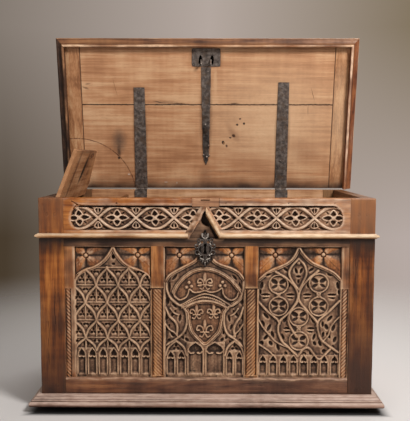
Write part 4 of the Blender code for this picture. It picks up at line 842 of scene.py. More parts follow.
def lancets(c, dividers, head, within, cusp=36.0, foot=-664.0):
    """Carve a row of narrow pointed lights with cusped heads between straight bars."""
    for a, b in zip(dividers, dividers[1:]):
        m, w = (a + b) / 2, (b - a) / 2 - 5.0
        opening = [(m - w, foot), (m - w, head - 30), (m - w * 0.78, head - 16), (m, head)]
        opening += [(2 * m - x, z) for x, z in opening[::-1]]
        area = c.inside(opening) & within
        lit = np.clip((head - 34 - c.z) / 16, 0, 1)
        floor = -12.5 + 3.4 * lit + 5.0 * np.clip(1 - (c.z - foot) / 12, 0, 1) ** 2
        c.rub += np.where(area, 0.30 * lit, 0.0)
        around = within & (np.abs(c.x - m) < w + 5) & (c.z < head) & ~area
        c.height = np.where(around, np.maximum(c.height, -4.5), c.height)
        c.height = np.where(area, floor, c.height)
        c.raise_rib(opening, [(0, -1.8), (1.4, -2.6), (2.6, -7.5), (4.2, -12.5)], within)
        for side in (-1, 1):
            shoulder = through(sided([(1, 12), (0.66, 1), (0.24, 2)], m, head - cusp, side, w))
            c.raise_rib(shoulder, [(0, -2.6), (1.8, -3.4), (3.2, -9.0), (4.4, -12.5)], area)
    for x in dividers:
        c.cut([(x, head - 30), (x, foot)], 1.3, 1.3, within)


def quatrefoil(c, x, z, radius, within):
    """Carve a ring that holds four sunk lobes with cusps between them."""
    away = np.hypot(c.x - x, c.z - z)
    disc = within & (away < radius)
    c.height = np.where(disc, -4.4 - 3.4 * np.clip(away / radius, 0, 1) ** 2, c.height)
    # The two upper lobes are wider and deeper
    for way, thick, depth in ((1, 0.26, -12.6), (-1, 0.20, -10.2)):
        for tilt in (32.4, 147.6):
            centre = polar(x, z, way * radius * 0.50, math.radians(tilt))
            c.hollow(*centre, (radius * 0.40, radius * thick, tilt), depth, within)
    c.boss(x, z, radius * 0.15, -3.0, within=within)
    c.raise_rib(ring(x, z, radius), SLIM_RIB, within)


def flower(c, x, z, radius, top, within):
    """Carve a small four-petalled flower."""
    for quarter in range(4):
        angle = math.radians(45 + 90 * quarter)
        petal = (radius * 0.5, radius * 0.36, math.degrees(angle))
        c.boss(*polar(x, z, radius * 0.55, angle), petal, top, within)
    c.boss(x, z, radius * 0.28, top + 1.2, within)


def star_panel():
    """The left panel: a lattice of stars over seven lights."""
    c = Carving((-POST_IN, -206.5), PANEL_SPAN, seed=3)
    left, right = -489.0, -208.0
    arch = np.vstack([
        through([
            (-489, -301), (-480, -284), (-448, -266), (-416, -255), (-384, -233), (-364, -208),
            (-347, -178),
        ]),
        through([
            (-347, -178), (-337, -204), (-316, -233), (-288, -254), (-253, -269), (-224, -283),
            (-208, -300),
        ]),
    ])
    field = arched_field(c, (left, right), arch, [(-449, -214), (-256, -212)])
    # Stars stand 81.5 mm apart in five rows, and the last row is shorter
    last = -524
    stars = [
        (first + 81.5 * k, z)
        for first, z in ((-453, -259), (-412, -325), (-453, -390), (-412, -457), (-453, last))
        for k in range(-2, 5)
    ]
    for x, z in stars:
        for side in (-1, 1):
            if z > last:
                c.trefoil(x + side * 12.5, z - 44, 14.5, 90, field)
                c.trefoil(x + side * 28.5, z - 21, 14.5, -90, field)
            else:
                c.trefoil(x + side * 27, z - 17, 13, -90, field)
                c.hollow(x + side * 7, z - 26, (3.5, 8, 0), -13, field)
    arm = [(0, 0), (6, -0.16), (20, -0.38), (32, -0.62), (40.7, -1)]
    across, down = ([(h, top - less) for h, top in SLIM_RIB] for less in (0.9, 1.2))
    for x, z in stars:
        fall = 66 if z > last else 50
        for side in (-1, 1):
            c.raise_rib(through(sided(arm, x, z, side, tall=fall)), MAIN_RIB, field)
            c.raise_rib([(x, z), (x + side * 41, z)], across, field, sag=1.0)
        c.raise_rib([(x, z), (x, z - fall * 0.94)], down, field)
        c.boss(x, z, 5.0, -0.3, within=field)
    step = (right - left) / 7
    lancets(c, [left + step * k for k in range(8)], -563, field)
    c.hollow(-347, -219, (6, 8, 0), -19, within=field)
    c.hollow(-347, -246, (7, 6, 0), -13, within=field)
    rope(c, (-527, -505), (-675, -338), lean=1.0)
    c.polish = np.where(c.x < -490, 0.8, c.polish)
    c.tool_marks(flank_light=0.5)
    c.piece("panel_stars", "front_panel_left", CARVED, "wood_carved", PANEL_FRONT, PANEL_BACK)


LILY_CURL = [(0.06, -0.10), (0.16, 0.22), (0.42, 0.32), (0.52, 0.05), (0.36, 0.02)]
LILY_FOOT = [(0, -0.12), (0.16, -0.42), (0.34, -0.36)]
LILY_BAND = [(-0.28, -0.10), (0.28, -0.10)]


def fleur_de_lis(c, x, z, size, within):
    """Carve a small lily: a pointed middle leaf, two curled ones, a band and a foot."""
    c.boss(x, z + 0.34 * size, (0.17 * size, 0.52 * size, 0), -1.6, within=within)
    for side in (-1, 1):
        curl = through(sided(LILY_CURL, x, z, side, size, size))
        c.raise_rib(curl, [(0, -1.8), (1.8, -2.4), (3.4, -8)], within)
        foot = through(sided(LILY_FOOT, x, z, side, size, size))
        c.raise_rib(foot, [(0, -2.4), (1.6, -2.9), (3.0, -8)], within)
    band = sided(LILY_BAND, x, z, 1, size, size)
    c.raise_rib(band, [(0, -1.4), (1.9, -2.0), (3.0, -8)], within)


def crown(c, field):
    """Carve the crown: a swollen cap with bars, a beaded band, berries and a lily; returns it."""
    upper = through([
        (-123, -351), (-110, -326), (-85, -297), (-50, -273), (-7, -264), (35, -272), (78, -296),
        (110, -329), (130, -358), (121, -379), (96, -399),
    ])
    lower = through([
        (-123, -351), (-119, -367), (-100, -380), (-78, -371), (-69, -355), (-64, -340),
        (-50, -351), (-28, -351), (-7, -345), (14, -351), (39, -347), (57, -336), (62, -358),
        (75, -374), (93, -381), (111, -372), (118, -354),
    ])
    band_top = through([
        (-96, -398), (-85, -394), (-50, -373), (-7, -358), (36, -369), (71, -390), (89, -401),
    ])
    band_low = through([(-92, -410), (-50, -391), (-7, -383), (36, -389), (76, -409)])
    cap = c.inside(np.vstack([upper, lower[::-1]])) & field
    swell = 1 - ((c.x + 5) / 128) ** 2 - ((c.z + 372) / 115) ** 2
    c.height = np.where(cap, -9.5 + 4.0 * np.sqrt(np.clip(swell, 0, 1)), c.height)
    c.raise_rib(upper, CROWN_RIB, field)
    for line in (
        [(-150, -318), (-148, -345), (-134, -374), (-110, -396), (-92, -404)],
        [(137, -312), (134, -350), (120, -380), (98, -400), (82, -406)],
    ):
        c.raise_rib(through(line), MAIN_RIB, field)
    c.raise_rib(lower, [(0, -0.8), (1.8, -1.4), (3.4, -7)], field)
    c.raise_rib(band_top, SLIM_RIB, field)
    c.raise_rib(band_low, MAIN_RIB, field)
    band = c.inside(np.vstack([band_top, band_low[::-1]])) & field
    c.height = np.where(band, np.maximum(c.height, -6.5), c.height)
    for a, b in zip(band_top[::4], band_low[:: max(1, len(band_low) * 4 // len(band_top))]):
        c.boss(*((a + b) / 2), 4.0, -1.0, within=field)
    for x, z in ((-66, -315), (-76, -333), (-57, -329), (59, -313), (50, -327), (68, -327)):
        c.boss(x, z, 6.2, -0.6, within=field)
        c.rub += np.where(np.hypot(c.x - x, c.z - z) < 5.5, 0.3, 0.0)
    fleur_de_lis(c, -7, -318, 52, field)
    for x in (-26, 13):
        for z in (-316, -326):
            c.boss(x, z, (10, 4, 0), -1.4, within=field)
    return cap


def shield(c, field):
    """Carve the shield with its three lilies; returns it."""
    outline = [
        (-43, -392), (-78, -411), (-69, -431), (-65, -470), (-55, -503), (-32, -529), (-7, -551),
        (22, -528), (45, -503), (55, -470), (61, -430), (70, -410), (36, -392), (-5, -386),
    ]
    rim = through(outline, closed=True)
    plate = c.inside(rim)
    bulge = 1 - ((c.x + 5) / 72) ** 2 - ((c.z + 460) / 95) ** 2
    c.height = np.where(plate, -9.5 + 3.5 * np.sqrt(np.clip(bulge, 0, 1)), c.height)
    c.raise_rib(rim, SHIELD_RIB, field)
    for x, z, size in ((-38, -432, 46), (26, -430, 46), (-7, -497, 58)):
        fleur_de_lis(c, x, z, size, plate)
    return plate


def shield_panel():
    """The middle panel: a crown over a shield with three lilies, leaf shapes and lights."""
    c = Carving((-159.5, 142.5), PANEL_SPAN, seed=5)
    arch = np.vstack([
        through([(-156, -312), (-138, -286), (-96, -261), (-50, -236), (-36, -222), (-7, -178)]),
        through([(-7, -178), (22, -226), (50, -246), (92, -261), (121, -278), (140, -303)]),
    ])
    field = arched_field(c, (-156.0, 140.0), arch, [(-101, -212), (92, -212)])
    # Holes of the leaf shapes on both sides, set out from the middle
    for side in (-1, 1):
        for x, z, wide, tall, turn in (
            (112, -296, 5, 13, 42), (132, -335, 6, 22, 5), (138, -385, 7, 14, 0),
            (112, -402, 5, 13, -45), (116, -432, 6, 16, 38), (139, -440, 6, 18, 12),
            (92, -450, 5, 14, 10), (100, -484, 5, 12, -20), (136, -486, 6, 14, 25),
            (120, -512, 6, 11, -35), (84, -520, 5, 12, -30), (98, -543, 5, 10, 35),
            (66, -532, 6, 9, -40), (40, -550, 6, 8, -50), (134, -536, 6, 9, 30),
            (72, -504, 4, 9, -15), (20, -562, 5, 7, 0), (52, -572, 5, 7, 0),
        ):
            c.hollow(-8 + side * x, z, (wide, tall, side * turn), -13.5, field)
    cap = crown(c, field)
    plate = shield(c, field)
    # Stems that wind beside the shield
    for line, section in (
        ([(-89, -403), (-76, -431), (-75, -474), (-89, -507), (-114, -529), (-150, -552)], MAIN_RIB),
        ([(-153, -409), (-139, -442), (-118, -463), (-110, -485), (-112, -512)], MAIN_RIB),
        ([(-136, -412), (-122, -430), (-106, -438)], SLIM_RIB),
        ([(-154, -470), (-140, -492), (-120, -505), (-108, -520)], SLIM_RIB),
        ([(82, -408), (66, -434), (66, -477), (79, -510), (104, -528), (138, -560)], MAIN_RIB),
        ([(137, -408), (125, -444), (111, -466), (102, -492), (106, -520)], MAIN_RIB),
        ([(118, -412), (104, -432), (90, -440)], SLIM_RIB),
        ([(138, -470), (124, -492), (112, -505), (100, -518)], SLIM_RIB),
    ):
        c.raise_rib(through(line), section, field & ~plate)
    for a, b in ((-154, -75), (69, 140)):
        m, w = (a + b) / 2, (b - a) / 2
        for side in (-1, 1):
            haunch = through(sided([(1, -592), (0.72, -561), (0, -536)], m, 0, side, w))
            c.raise_rib(haunch, MAIN_RIB, field)
        c.trefoil(m, -562, 15, 90, field)
        lancets(c, [a, m, b], -574, field, cusp=30)
    lancets(c, [-75, -8], -541, field, cusp=44)
    lancets(c, [-8, 69], -541, field, cusp=44)
    # The hollows of the two middle lights are darker, and a dark patch lies under the lock
    darker_lights = (np.abs(c.x + 3) < 62) & (np.abs(c.z + 615) < 40) & (c.height < -7)
    c.rub -= np.where(darker_lights, 0.28, 0.0)
    c.tool_marks(flank_light=0.5)
    c.polish = np.where(cap | plate, 0.35, c.polish)
    behind = ((c.x + 6) / 38) ** 2 + ((c.z + 186) / 66) ** 2 < 1
    c.rub = np.where(behind, -0.85, c.rub)
    c.polish = np.where(behind, 0.0, c.polish)
    c.piece("panel_shield", "front_panel_centre", CARVED, "wood_carved", PANEL_FRONT, PANEL_BACK)


def flame_panel():
    """The right panel: flowing tracery with ringed quatrefoils over eight lights."""
    c = Carving((189.5, POST_IN), PANEL_SPAN, seed=7)
    arch = np.vstack([
        through([(193, -302), (228, -274), (267, -256), (302, -238), (323, -217), (341, -178)]),
        through([(341, -178), (358, -206), (387, -235), (430, -256), (469, -274), (498, -300)]),
    ])
    field = arched_field(c, (192.0, 499.0), arch, [(254, -211), (432, -209)])
    # Slits and leaf shapes: middle, half sizes and turn in degrees
    for x, z, across, up, turn in (
        (220, -360, 17, 4.5, 0), (220, -372, 13, 4, 12), (312, -360, 15, 4.5, 0), (312, -372, 11, 4, -12),
        (374, -360, 15, 4.5, 0), (374, -372, 11, 4, 12), (466, -360, 16, 4.5, 0), (466, -372, 12, 4, -12),
        (301, -488, 14, 4.5, 0), (303, -500, 10, 4, 12), (390, -488, 14, 4.5, 0), (387, -500, 10, 4, -12),
        (332, -270, 5, 11, 20), (351, -270, 5, 11, -20), (341, -292, 9, 4.5, 0), (341, -310, 4, 8, 0),
        (222, -440, 6, 14, 40), (210, -470, 7, 13, 20), (233, -486, 6, 14, -25), (247, -512, 6, 14, 15),
        (222, -523, 6, 12, -40), (206, -545, 8, 9, 0), (240, -545, 7, 10, 30), (268, -560, 6, 13, 15),
        (460, -450, 6, 14, -40), (448, -482, 7, 12, 20), (474, -486, 6, 13, -20), (434, -472, 5, 11, 0),
        (456, -515, 6, 13, 30), (480, -530, 6, 12, -20), (436, -512, 5, 11, -10), (425, -545, 6, 12, 20),
        (205, -325, 6, 14, -10), (488, -325, 6, 14, 10), (200, -350, 4, 9, 0), (492, -350, 4, 9, 0),
        (294, -266, 11, 5, -35), (388, -266, 11, 5, 35), (306, -325, 5, 9, 0), (378, -325, 5, 9, 0),
        (230, -285, 10, 4, 25), (456, -285, 10, 4, -25), (292, -455, 6, 12, -15), (398, -455, 6, 12, 15),
        (286, -520, 5, 13, 20), (402, -520, 5, 13, -20), (318, -570, 7, 9, 30), (366, -585, 8, 7, 0),
        (392, -580, 7, 9, -20), (405, -545, 6, 9, 30), (440, -575, 8, 8, 0), (472, -560, 6, 9, -30),
        (298, -585, 6, 9, 20), (250, -590, 6, 8, 0), (302, -410, 4, 9, 20), (384, -410, 4, 9, -20),
    ):
        c.hollow(x, z, (across, up, turn), -14.0, field)
    # Bright shelves between the pairs of slits
    for x in (220, 312, 374, 466):
        c.boss(x, -366.5, (15, 2.8, 0), -2.6, within=field)
    for x in (302, 389):
        c.boss(x, -494.5, (13, 2.8, 0), -2.6, within=field)
    flowing = [
        [(341, -225), (318, -250), (306, -278), (316, -306), (343, -342)],
        [(341, -225), (362, -248), (370, -278), (362, -304), (343, -342)],
        [(256, -274), (303, -303), (334, -340), (338, -378), (311, -422), (273, -458)],
        [(414, -270), (376, -303), (349, -340), (345, -382), (379, -425), (412, -462)],
        [(192, -385), (226, -422), (262, -452), (272, -470)],
        [(495, -382), (454, -425), (420, -455), (412, -480)],
        [(340, -384), (313, -424), (305, -458), (316, -488), (338, -520)],
        [(308, -427), (276, -458), (267, -495), (281, -535), (306, -559), (342, -595)],
        [(379, -425), (410, -462), (416, -494), (427, -527), (456, -553), (492, -578)],
        [(342, -595), (363, -566), (385, -564), (421, -604), (463, -567)],
    ]
    for x, z in ((267, -321), (268, -404), (417, -316), (417, -404), (344, -444), (345, -535)):
        quatrefoil(c, x, z, 35, field)
    for line in flowing:
        c.raise_rib(through(line), MAIN_RIB, field)
    for line in (
        [(195, -548), (222, -566), (240, -580), (262, -610)],
        [(193, -452), (211, -484), (236, -514), (262, -540), (304, -560)],
        [(499, -440), (478, -462), (463, -486), (455, -514), (436, -536)],
    ):
        c.raise_rib(through(line), SLIM_RIB, field)
    for x, z, size in ((268, -363, 13), (417, -361, 14), (344, -489, 13)):
        c.boss(x, z, size, -3.0, within=field)
        flower(c, x, z, size * 0.8, -0.4, field)
    c.boss(341, -240, (8, 9, 0), -1.0, within=field)
    lancets(c, [192 + 38.4 * k for k in range(9)], -588, field, cusp=30)
    rope(c, (501.5, 525), (-675, -338), lean=-1.0)
    c.polish = np.where((c.x > 500) | (c.x < 192), 0.7, c.polish)
    c.tool_marks(flank_light=0.5)
    c.piece("panel_flames", "front_panel_right", CARVED, "wood_carved", PANEL_FRONT, PANEL_BACK)


def frieze(c, middle, low, high, within):
    """Carve one field of the top rail: two crossing waves with four-leaved shapes between."""
    line, pitch = -73, 140
    for k in range(-2, 5):
        xc = middle + pitch / 2 + pitch * k
        for turn, long, wide in ((0, 41, 10.5), (180, 41, 10.5), (90, 29, 12.5), (270, 29, 12.5)):
            angle = math.radians(turn + 4 * (k % 2))
            along = np.array([math.cos(angle), math.sin(angle)])
            aside = np.array([-math.sin(angle), math.cos(angle)])
            belly = along * long * 0.45
            tips = [along * 5, belly + aside * wide, along * long, belly - aside * wide]
            leaf = through([(xc, line) + tip for tip in tips], closed=True, step=1.5)
            c.height = np.where(c.inside(leaf) & within, -11.5, c.height)
            c.raise_rib(leaf, [(0, -1.8), (1.4, -2.4), (2.6, -5.5)], within)
            eye = (xc + 31 * math.cos(angle + 0.75), line + 25 * math.sin(angle + 0.75))
            c.hollow(*eye, (7, 3.6, turn + 43), -11.5, within)
        c.boss(xc, line, 6.5, -0.8, within=within)
        for side in (-1, 1):
            c.hollow(xc + side * 54, line, (8, 4.5, 0), -12, within)
            drop = sided([(70, 14), (57, 31), (70, 38), (83, 31)], xc, line, tall=side)
            drop = through(drop, closed=True, step=1.5)
            c.height = np.where(c.inside(drop) & within, -11.0, c.height)
            c.raise_rib(drop, [(0, -2.2), (1.3, -3.0), (2.4, -6.5)], within)
            vein = sided([(70, 18), (70, 36)], xc, line, tall=side)
            c.raise_rib(vein, [(0, -3.2), (1.2, -4.0), (2.2, -10)], within)
            for lift in (-1, 1):
                turn = side * lift * -24
                c.hollow(xc + side * 43, line + lift * 37, (12, 4, turn), -13, within)
    wave = np.arange(low, high, 3.0)
    for sign in (-1, 1):
        rise = line + sign * 41 * np.sin(np.pi * (wave - middle) / pitch)
        c.raise_rib(np.stack([wave, rise], 1), WAVE_RIB, within)


def top_rail():
    """The top rail: two fields of crossing waves, the notch over the lock and its lost arm."""
    c = Carving((-POST_IN, POST_IN), (PANEL_SPAN[1], 0), step=1.75, seed=11)
    x, z = c.x, c.z
    lock = LOCK_X * 1000
    left = c.inside(np.vstack([
        ring(-462, -73, 39, 265, 95, 1.18), [(-24, -28), (-31, -60), (-62, -119)],
    ]))
    right = c.inside(np.vstack([
        [(59, -119), (12, -43), (8, -28)], ring(461, -73, 39, 85, -85, 1.18),
    ]))
    field = left | right
    c.height = np.where(field, -7.0, c.height)
    frieze(c, -401, -520, -30, left)
    frieze(c, 116, 12, 520, right)
    # A black undercut along each field's upper edge
    shade = field & (z > -33.5) & (z < -28)
    c.height = np.where(shade, -13.0, c.height)
    # Cuts and a small leaf in the left field's corner
    for a, b in (
        ((-478, -24), (-492, -40)), ((-478, -24), (-470, -34)), ((-478, -24), (-430, -31)),
        ((-478, -23), (-497, -12)),
    ):
        c.cut([a, b], 4.0, 2.2)
    c.boss(-478, -38, (9, 7, 20), -2.0, within=left)
    # The sunk triangle, the deep hole under its point and the scar of the lost left arm
    notch = c.inside([(lock + 1, -50), (lock - 61, -148), (lock + 63, -148)])
    c.height = np.where(notch, -5.0, c.height)
    scar = c.inside([(lock - 4, -30), (lock - 21, -34), (lock - 86, -150), (lock - 60, -150)])
    patch = blur(c.chance.normal(size=x.shape), 2)
    c.height = np.where(scar, -1.8 + patch / patch.std() * 0.9, c.height)
    hole = sided([(2, -48), (-14, -74), (-9, -95), (14, -104), (24, -96)], lock, 0)
    hole = c.inside(through(hole, closed=True))
    c.height = np.where(hole, -26.0, c.height)
    # A band under the right arm that stands for its shadow, sunk 14 mm and painted black
    shadow = sided([(2, -56), (14, -60), (66, -149), (38, -149), (12, -96)], lock, 0)
    shadow = c.inside(shadow)
    c.height = np.where(shadow, -14.0, c.height)
    keyway = (np.hypot(x - lock, z + 172) < 6) | ((np.abs(x - lock) < 3) & (z < -172))
    c.height = np.where(keyway, -40.0, c.height)
    # Worn arris along the rim
    edge = np.clip(1 + z / 4.0, 0, 1)
    c.height -= 2.0 * edge**2 * (1 + 0.4 * np.sin(x / 37) + 0.3 * np.sin(x / 11))
    for spot, size in ((-332, 3.4), (-14, 2.0), (70, 2.2), (300, 2.0), (-120, 1.8), (470, 2.0)):
        c.height = np.where(np.hypot(x - spot, (z + 18) * 1.6) < size, -6.0, c.height)
    c.tool_marks(0.4)
    plain = ~(field | notch | scar)
    c.rub = np.where(plain, c.rub * 0.6 + 0.35 * edge, c.rub)
    # Painted shadow under the string moulding, and a paler band just above it
    c.rub -= np.where(plain & (z < -145), 1.1 - 0.5 * np.clip((-158 - z) / 12, 0, 1), 0.0)
    c.rub += np.where(plain & (z < -119) & (z > -131), 0.35, 0.0)
    # The hole and the arm's shadow painted black as shade
    c.rub = np.where(hole | shadow, -1.0, c.rub)
    c.rub = np.where(scar, 0.05 + 0.3 * patch / patch.std(), c.rub)
    # The sunk triangle painted darker towards the right arm, as shade
    sunk = notch & ~(scar | hole | shadow)
    c.rub = np.where(sunk, 0.25 * c.rub - 0.48 - 0.35 * np.clip((x - lock + 15) / 40, 0, 1), c.rub)
    # Painted light: the plain rail and the fields paler towards the right
    across = np.clip((x + 200) / 600, 0, 1)
    c.rub += np.where(plain & (z > -140), 0.40 * across - 0.16, np.where(field, 0.5 * across, 0.0))
    shine = np.where(z < -145, 0.4 * np.clip((-156 - z) / 8, 0, 1), 1.5 - 0.5 * across)
    c.polish = np.where(plain, shine, np.where(notch, 0.0, 0.15))
    low, high = BLOCK_LOW.x * 1000 - 0.6, BLOCK_HIGH.x * 1000 + 0.6
    seat = (x > low) & (x < high) & (z > (BLOCK_LOW.z - RIM_Z) * 1000 - 0.6)
    c.height = np.where(seat, -20.4, c.height)
    c.rub = np.where(seat, -0.3, c.rub)
    c.piece("rail_top_carved", "front_top_rail", CARVED_RAIL, "wood_carved")


def muntins():
    """The two uprights between the panels: plain above, twisted rope below."""
    half = 23.5
    for side, middle, lean in (("left", -183.0, 1.0), ("right", 166.0, -1.0)):
        c = Carving((middle - half, middle + half), PANEL_SPAN, seed=13)
        c.height -= 1.2 * np.clip(1 - (half - np.abs(c.x - middle)) / 2.5, 0, 1)
        c.height = np.where((np.abs(c.z + 337) < 2.5) | (c.z < -668), -3.5, c.height)
        rope(c, (middle - half + 2, middle + half - 2), (-667, -340), lean=lean, depth=1.5)
        c.polish = np.where(c.z > -335, 0.85, 0.45)
        c.tool_marks(0.35)
        c.piece(f"muntin_{side}", f"front_muntin_{side}", ROPE_WOOD, "wood_dark")


def post(side, low, high, seed, shine):
    """A front post: worn arrises, knocks, three cracks and its pegs."""
    c = Carving((low, high), (RAIL_LOW, 0), step=2.4, seed=seed)
    outer = np.minimum(np.abs(c.x - low), np.abs(c.x - high))
    wave = 1 + 0.5 * np.sin(c.z / 23) + 0.4 * np.sin(c.z / 61 + low)
    edge = np.clip(1 - outer / 3.6, 0, 1)
    rim = np.clip(1 + c.z / 4.0, 0, 1)
    c.height -= 1.5 * edge**2 * wave + 1.6 * rim**2
    for _ in range(16):
        x, z = c.chance.uniform(low + 6, high - 6), c.chance.uniform(-740, -20)
        c.cut([(x, z), (x + c.chance.uniform(-9, 9), z - c.chance.uniform(4, 26))], 0.7, 1.9)
    for _ in range(3):
        x, z = c.chance.uniform(low + 14, high - 14), c.chance.uniform(-560, -60)
        crack = through([(x, z), (x + 2, z - 50), (x - 1, z - 105), (x + 1.5, z - 170)])
        c.cut(crack, 2.2, 1.3)
    for x, z in ((30, -60), (34, -128), (60, -60), (58, -706), (32, -722)):
        peg = np.hypot(c.x - low - x, c.z - z)
        c.height = np.where(peg < 5.5, np.where(peg > 3.8, -1.6, -0.1), c.height)
    c.tool_marks(0.5)
    c.rub = 0.6 * c.rub + 0.5 * np.maximum(edge * (wave > 0.8), rim)
    c.polish = np.clip(1.0 - np.abs(c.z + 330) / 420, 0, 1) * shine
    c.piece(f"stile_front_{side}", f"front_stile_{side}", WAXED_STILE, "wood_dark")


def bottom_rail():
    """The bottom rail, with a ledge under the panels pale from wear and painted top light, and darker at
    its foot.
    """
    c = Carving((-POST_IN, POST_IN), (RAIL_LOW, PANEL_SPAN[0]), step=2.3, seed=23)
    wave = 1.6 * np.sin(c.x / 29) + 1.0 * np.sin(c.x / 9) + 0.8 * np.sin(c.x / 61)
    ledge = np.clip((c.z + 681.5 - wave) / 4.5, 0, 1)
    c.height -= 4.0 * ledge**1.6
    for _ in range(26):
        x, z = c.chance.uniform(-500, 500), c.chance.uniform(-725, -692)
        c.cut([(x, z), (x + c.chance.uniform(6, 42), z + c.chance.uniform(-2, 2))], 0.7, 1.7)
    c.tool_marks(0.5)
    c.rub = 0.5 * c.rub + 1.1 * (ledge > 0.02) - 0.6 * np.clip((-726 - c.z) / 8, 0, 1)
    c.polish = np.clip(-(c.x + 100) / 500, 0, 0.3)
    c.piece("rail_bottom_worn", "front_bottom_rail", WAXED_RAIL, "wood_dark")


def run_moulding(
    name, node, section, path, out, material, ends=(0, 0), pose=None,
    wave=0.0005, fade=0.0, lean=0.0,
):
    """Run a moulding along a bent path; the section is (out, up, rub) in millimetres from its back.

    The ends mitre it by how far it stands out, and the lean cuts its first end aslant. The wave
    is how deep its worn edges are dented, and the fade how much paler or darker they are.
    """
    path, out = [Vector(p) for p in path], Vector(out)
    ways = [(b - a).normalized() for a, b in zip(path, path[1:])]
    ups = []
    for way in ways:
        up = way.cross(out)
        ups.append(up if up.dot(Vector((0.01, 0.02, 1))) > 0 else out.cross(way))
    corners = []
    for k, point in enumerate(path):
        before, after = ups[max(k - 1, 0)], ups[min(k, len(ups) - 1)]
        half = (before + after).normalized()
        corners.append((point, half / max(half.dot(after), 0.3)))
    count = [max(2, int((b - a).length / 0.010)) for a, b in zip(path, path[1:])]
    total = sum(count)
    bm = bmesh.new()
    bmesh.ops.create_grid(bm, x_segments=total, y_segments=len(section), size=0.5)
    rub = bm.verts.layers.float.new("rub")
    chance = np.random.default_rng(len(name))
    knots = np.arange(0, 1.5, 0.017)
    wear, dents = (blur(chance.uniform(-1, 1, (1, len(knots))), r)[0] for r in (2, 1))
    wear, dents = wear / wear.std(), dents / dents.std()
    for v in bm.verts:
        step = round((v.co.x + 0.5) * total)
        k = round((v.co.y + 0.5) * len(section)) % len(section)
        leg = 0
        while leg < len(count) - 1 and step > count[leg]:
            step -= count[leg]
            leg += 1
        t = step / count[leg]
        along, up, worn = section[k]
        (p, m), (q, n) = corners[leg], corners[leg + 1]
        run = (q - p).length * t
        worn = worn * (1 + 0.3 * fade) if worn > 0 else worn
        dent = max(worn, 0.0) * wave * min(float(np.interp(run, knots, dents)) - 1.2, 0.0)
        reach = along / 1000 + dent
        v.co = p.lerp(q, t) + m.lerp(n, t) * (up / 1000 + 0.4 * dent) + out * reach
        mitre = ends[0] * (1 - t) if leg == 0 else 0
        if leg == len(count) - 1:
            mitre += ends[1] * t
        v.co += ways[leg] * reach * mitre
        v.co += ways[leg] * up / 1000 * (lean * (1 - t) if leg == 0 else 0)
        mottle = 0.32 * float(np.interp(run, knots, wear)) * min(max(worn * 1.4, 0.0), 1.0)
        v[rub] = max(-1.0, min(1.0, worn * 0.85 + mottle + (fade if worn > 0.05 else 0)))
    bmesh.ops.remove_doubles(bm, verts=bm.verts, dist=0.00001)
    bmesh.ops.holes_fill(bm, edges=[e for e in bm.edges if e.is_boundary], sides=0)
    body = "lid" if pose else "carcass"
    finish_piece(name, bm, material, body, (node,), sharp=40.0, pose=pose)


# Sections: out, up, and a value for wear that also paints shade in the coves and under the noses, and
# light on the rounds and beads
BASE_SECTION = [
    (0, 0, 0), (33.0, 0.2, 0), (36.5, 1.6, -0.5), (38.8, 5.0, -0.35), (39.5, 9.5, 0.3), (39.0, 14.0, 0.7),
    (37.0, 17.6, 0.7), (34.2, 19.6, 0.2), (32.0, 20.4, -0.8), (31.8, 21.4, -0.6), (31.6, 24.4, 0.5),
    (30.2, 25.4, 0.4), (26.4, 25.9, -0.5), (25.8, 27.5, -0.2), (22.6, 30.2, 0.3), (19.8, 34.0, 0.5),
    (18.4, 36.0, -0.4), (16.4, 36.6, 0.3), (15.0, 39.6, 0.6), (11.0, 40.9, 0.4), (0, 40.9, 0),
]
STRING_SECTION = [
    (0, 0.1, -0.6), (3.2, 0.1, -0.6), (7.4, 4.4, 0), (12.2, 5.8, 0.6), (13.5, 8.0, 0.9),
    (13.1, 11.4, 0.9), (10.4, 13.6, 0.5), (5.8, 15.4, 0.3), (2.4, 17.8, 0.2), (0, 17.9, 0),
]
# Distances out from the inner face, and up from the lowest point
LIP_SECTION = [
    (0, 26, 0), (0, 4.0, 0.1), (1.6, 1.0, 0.8), (5.2, 0.1, 1.0), (9.0, 1.0, 0.9), (11.6, 3.6, 0.3),
    (12.8, 8.0, -0.7), (15.0, 11.0, -0.4), (20.0, 14.0, 0.1), (27.5, 16.0, 0.2), (31.0, 17.0, 0.1),
    (32.2, 20.0, -0.5), (35.6, 21.4, 0.4), (36.9, 22.6, 0.5), (36.9, 26, 0),
]


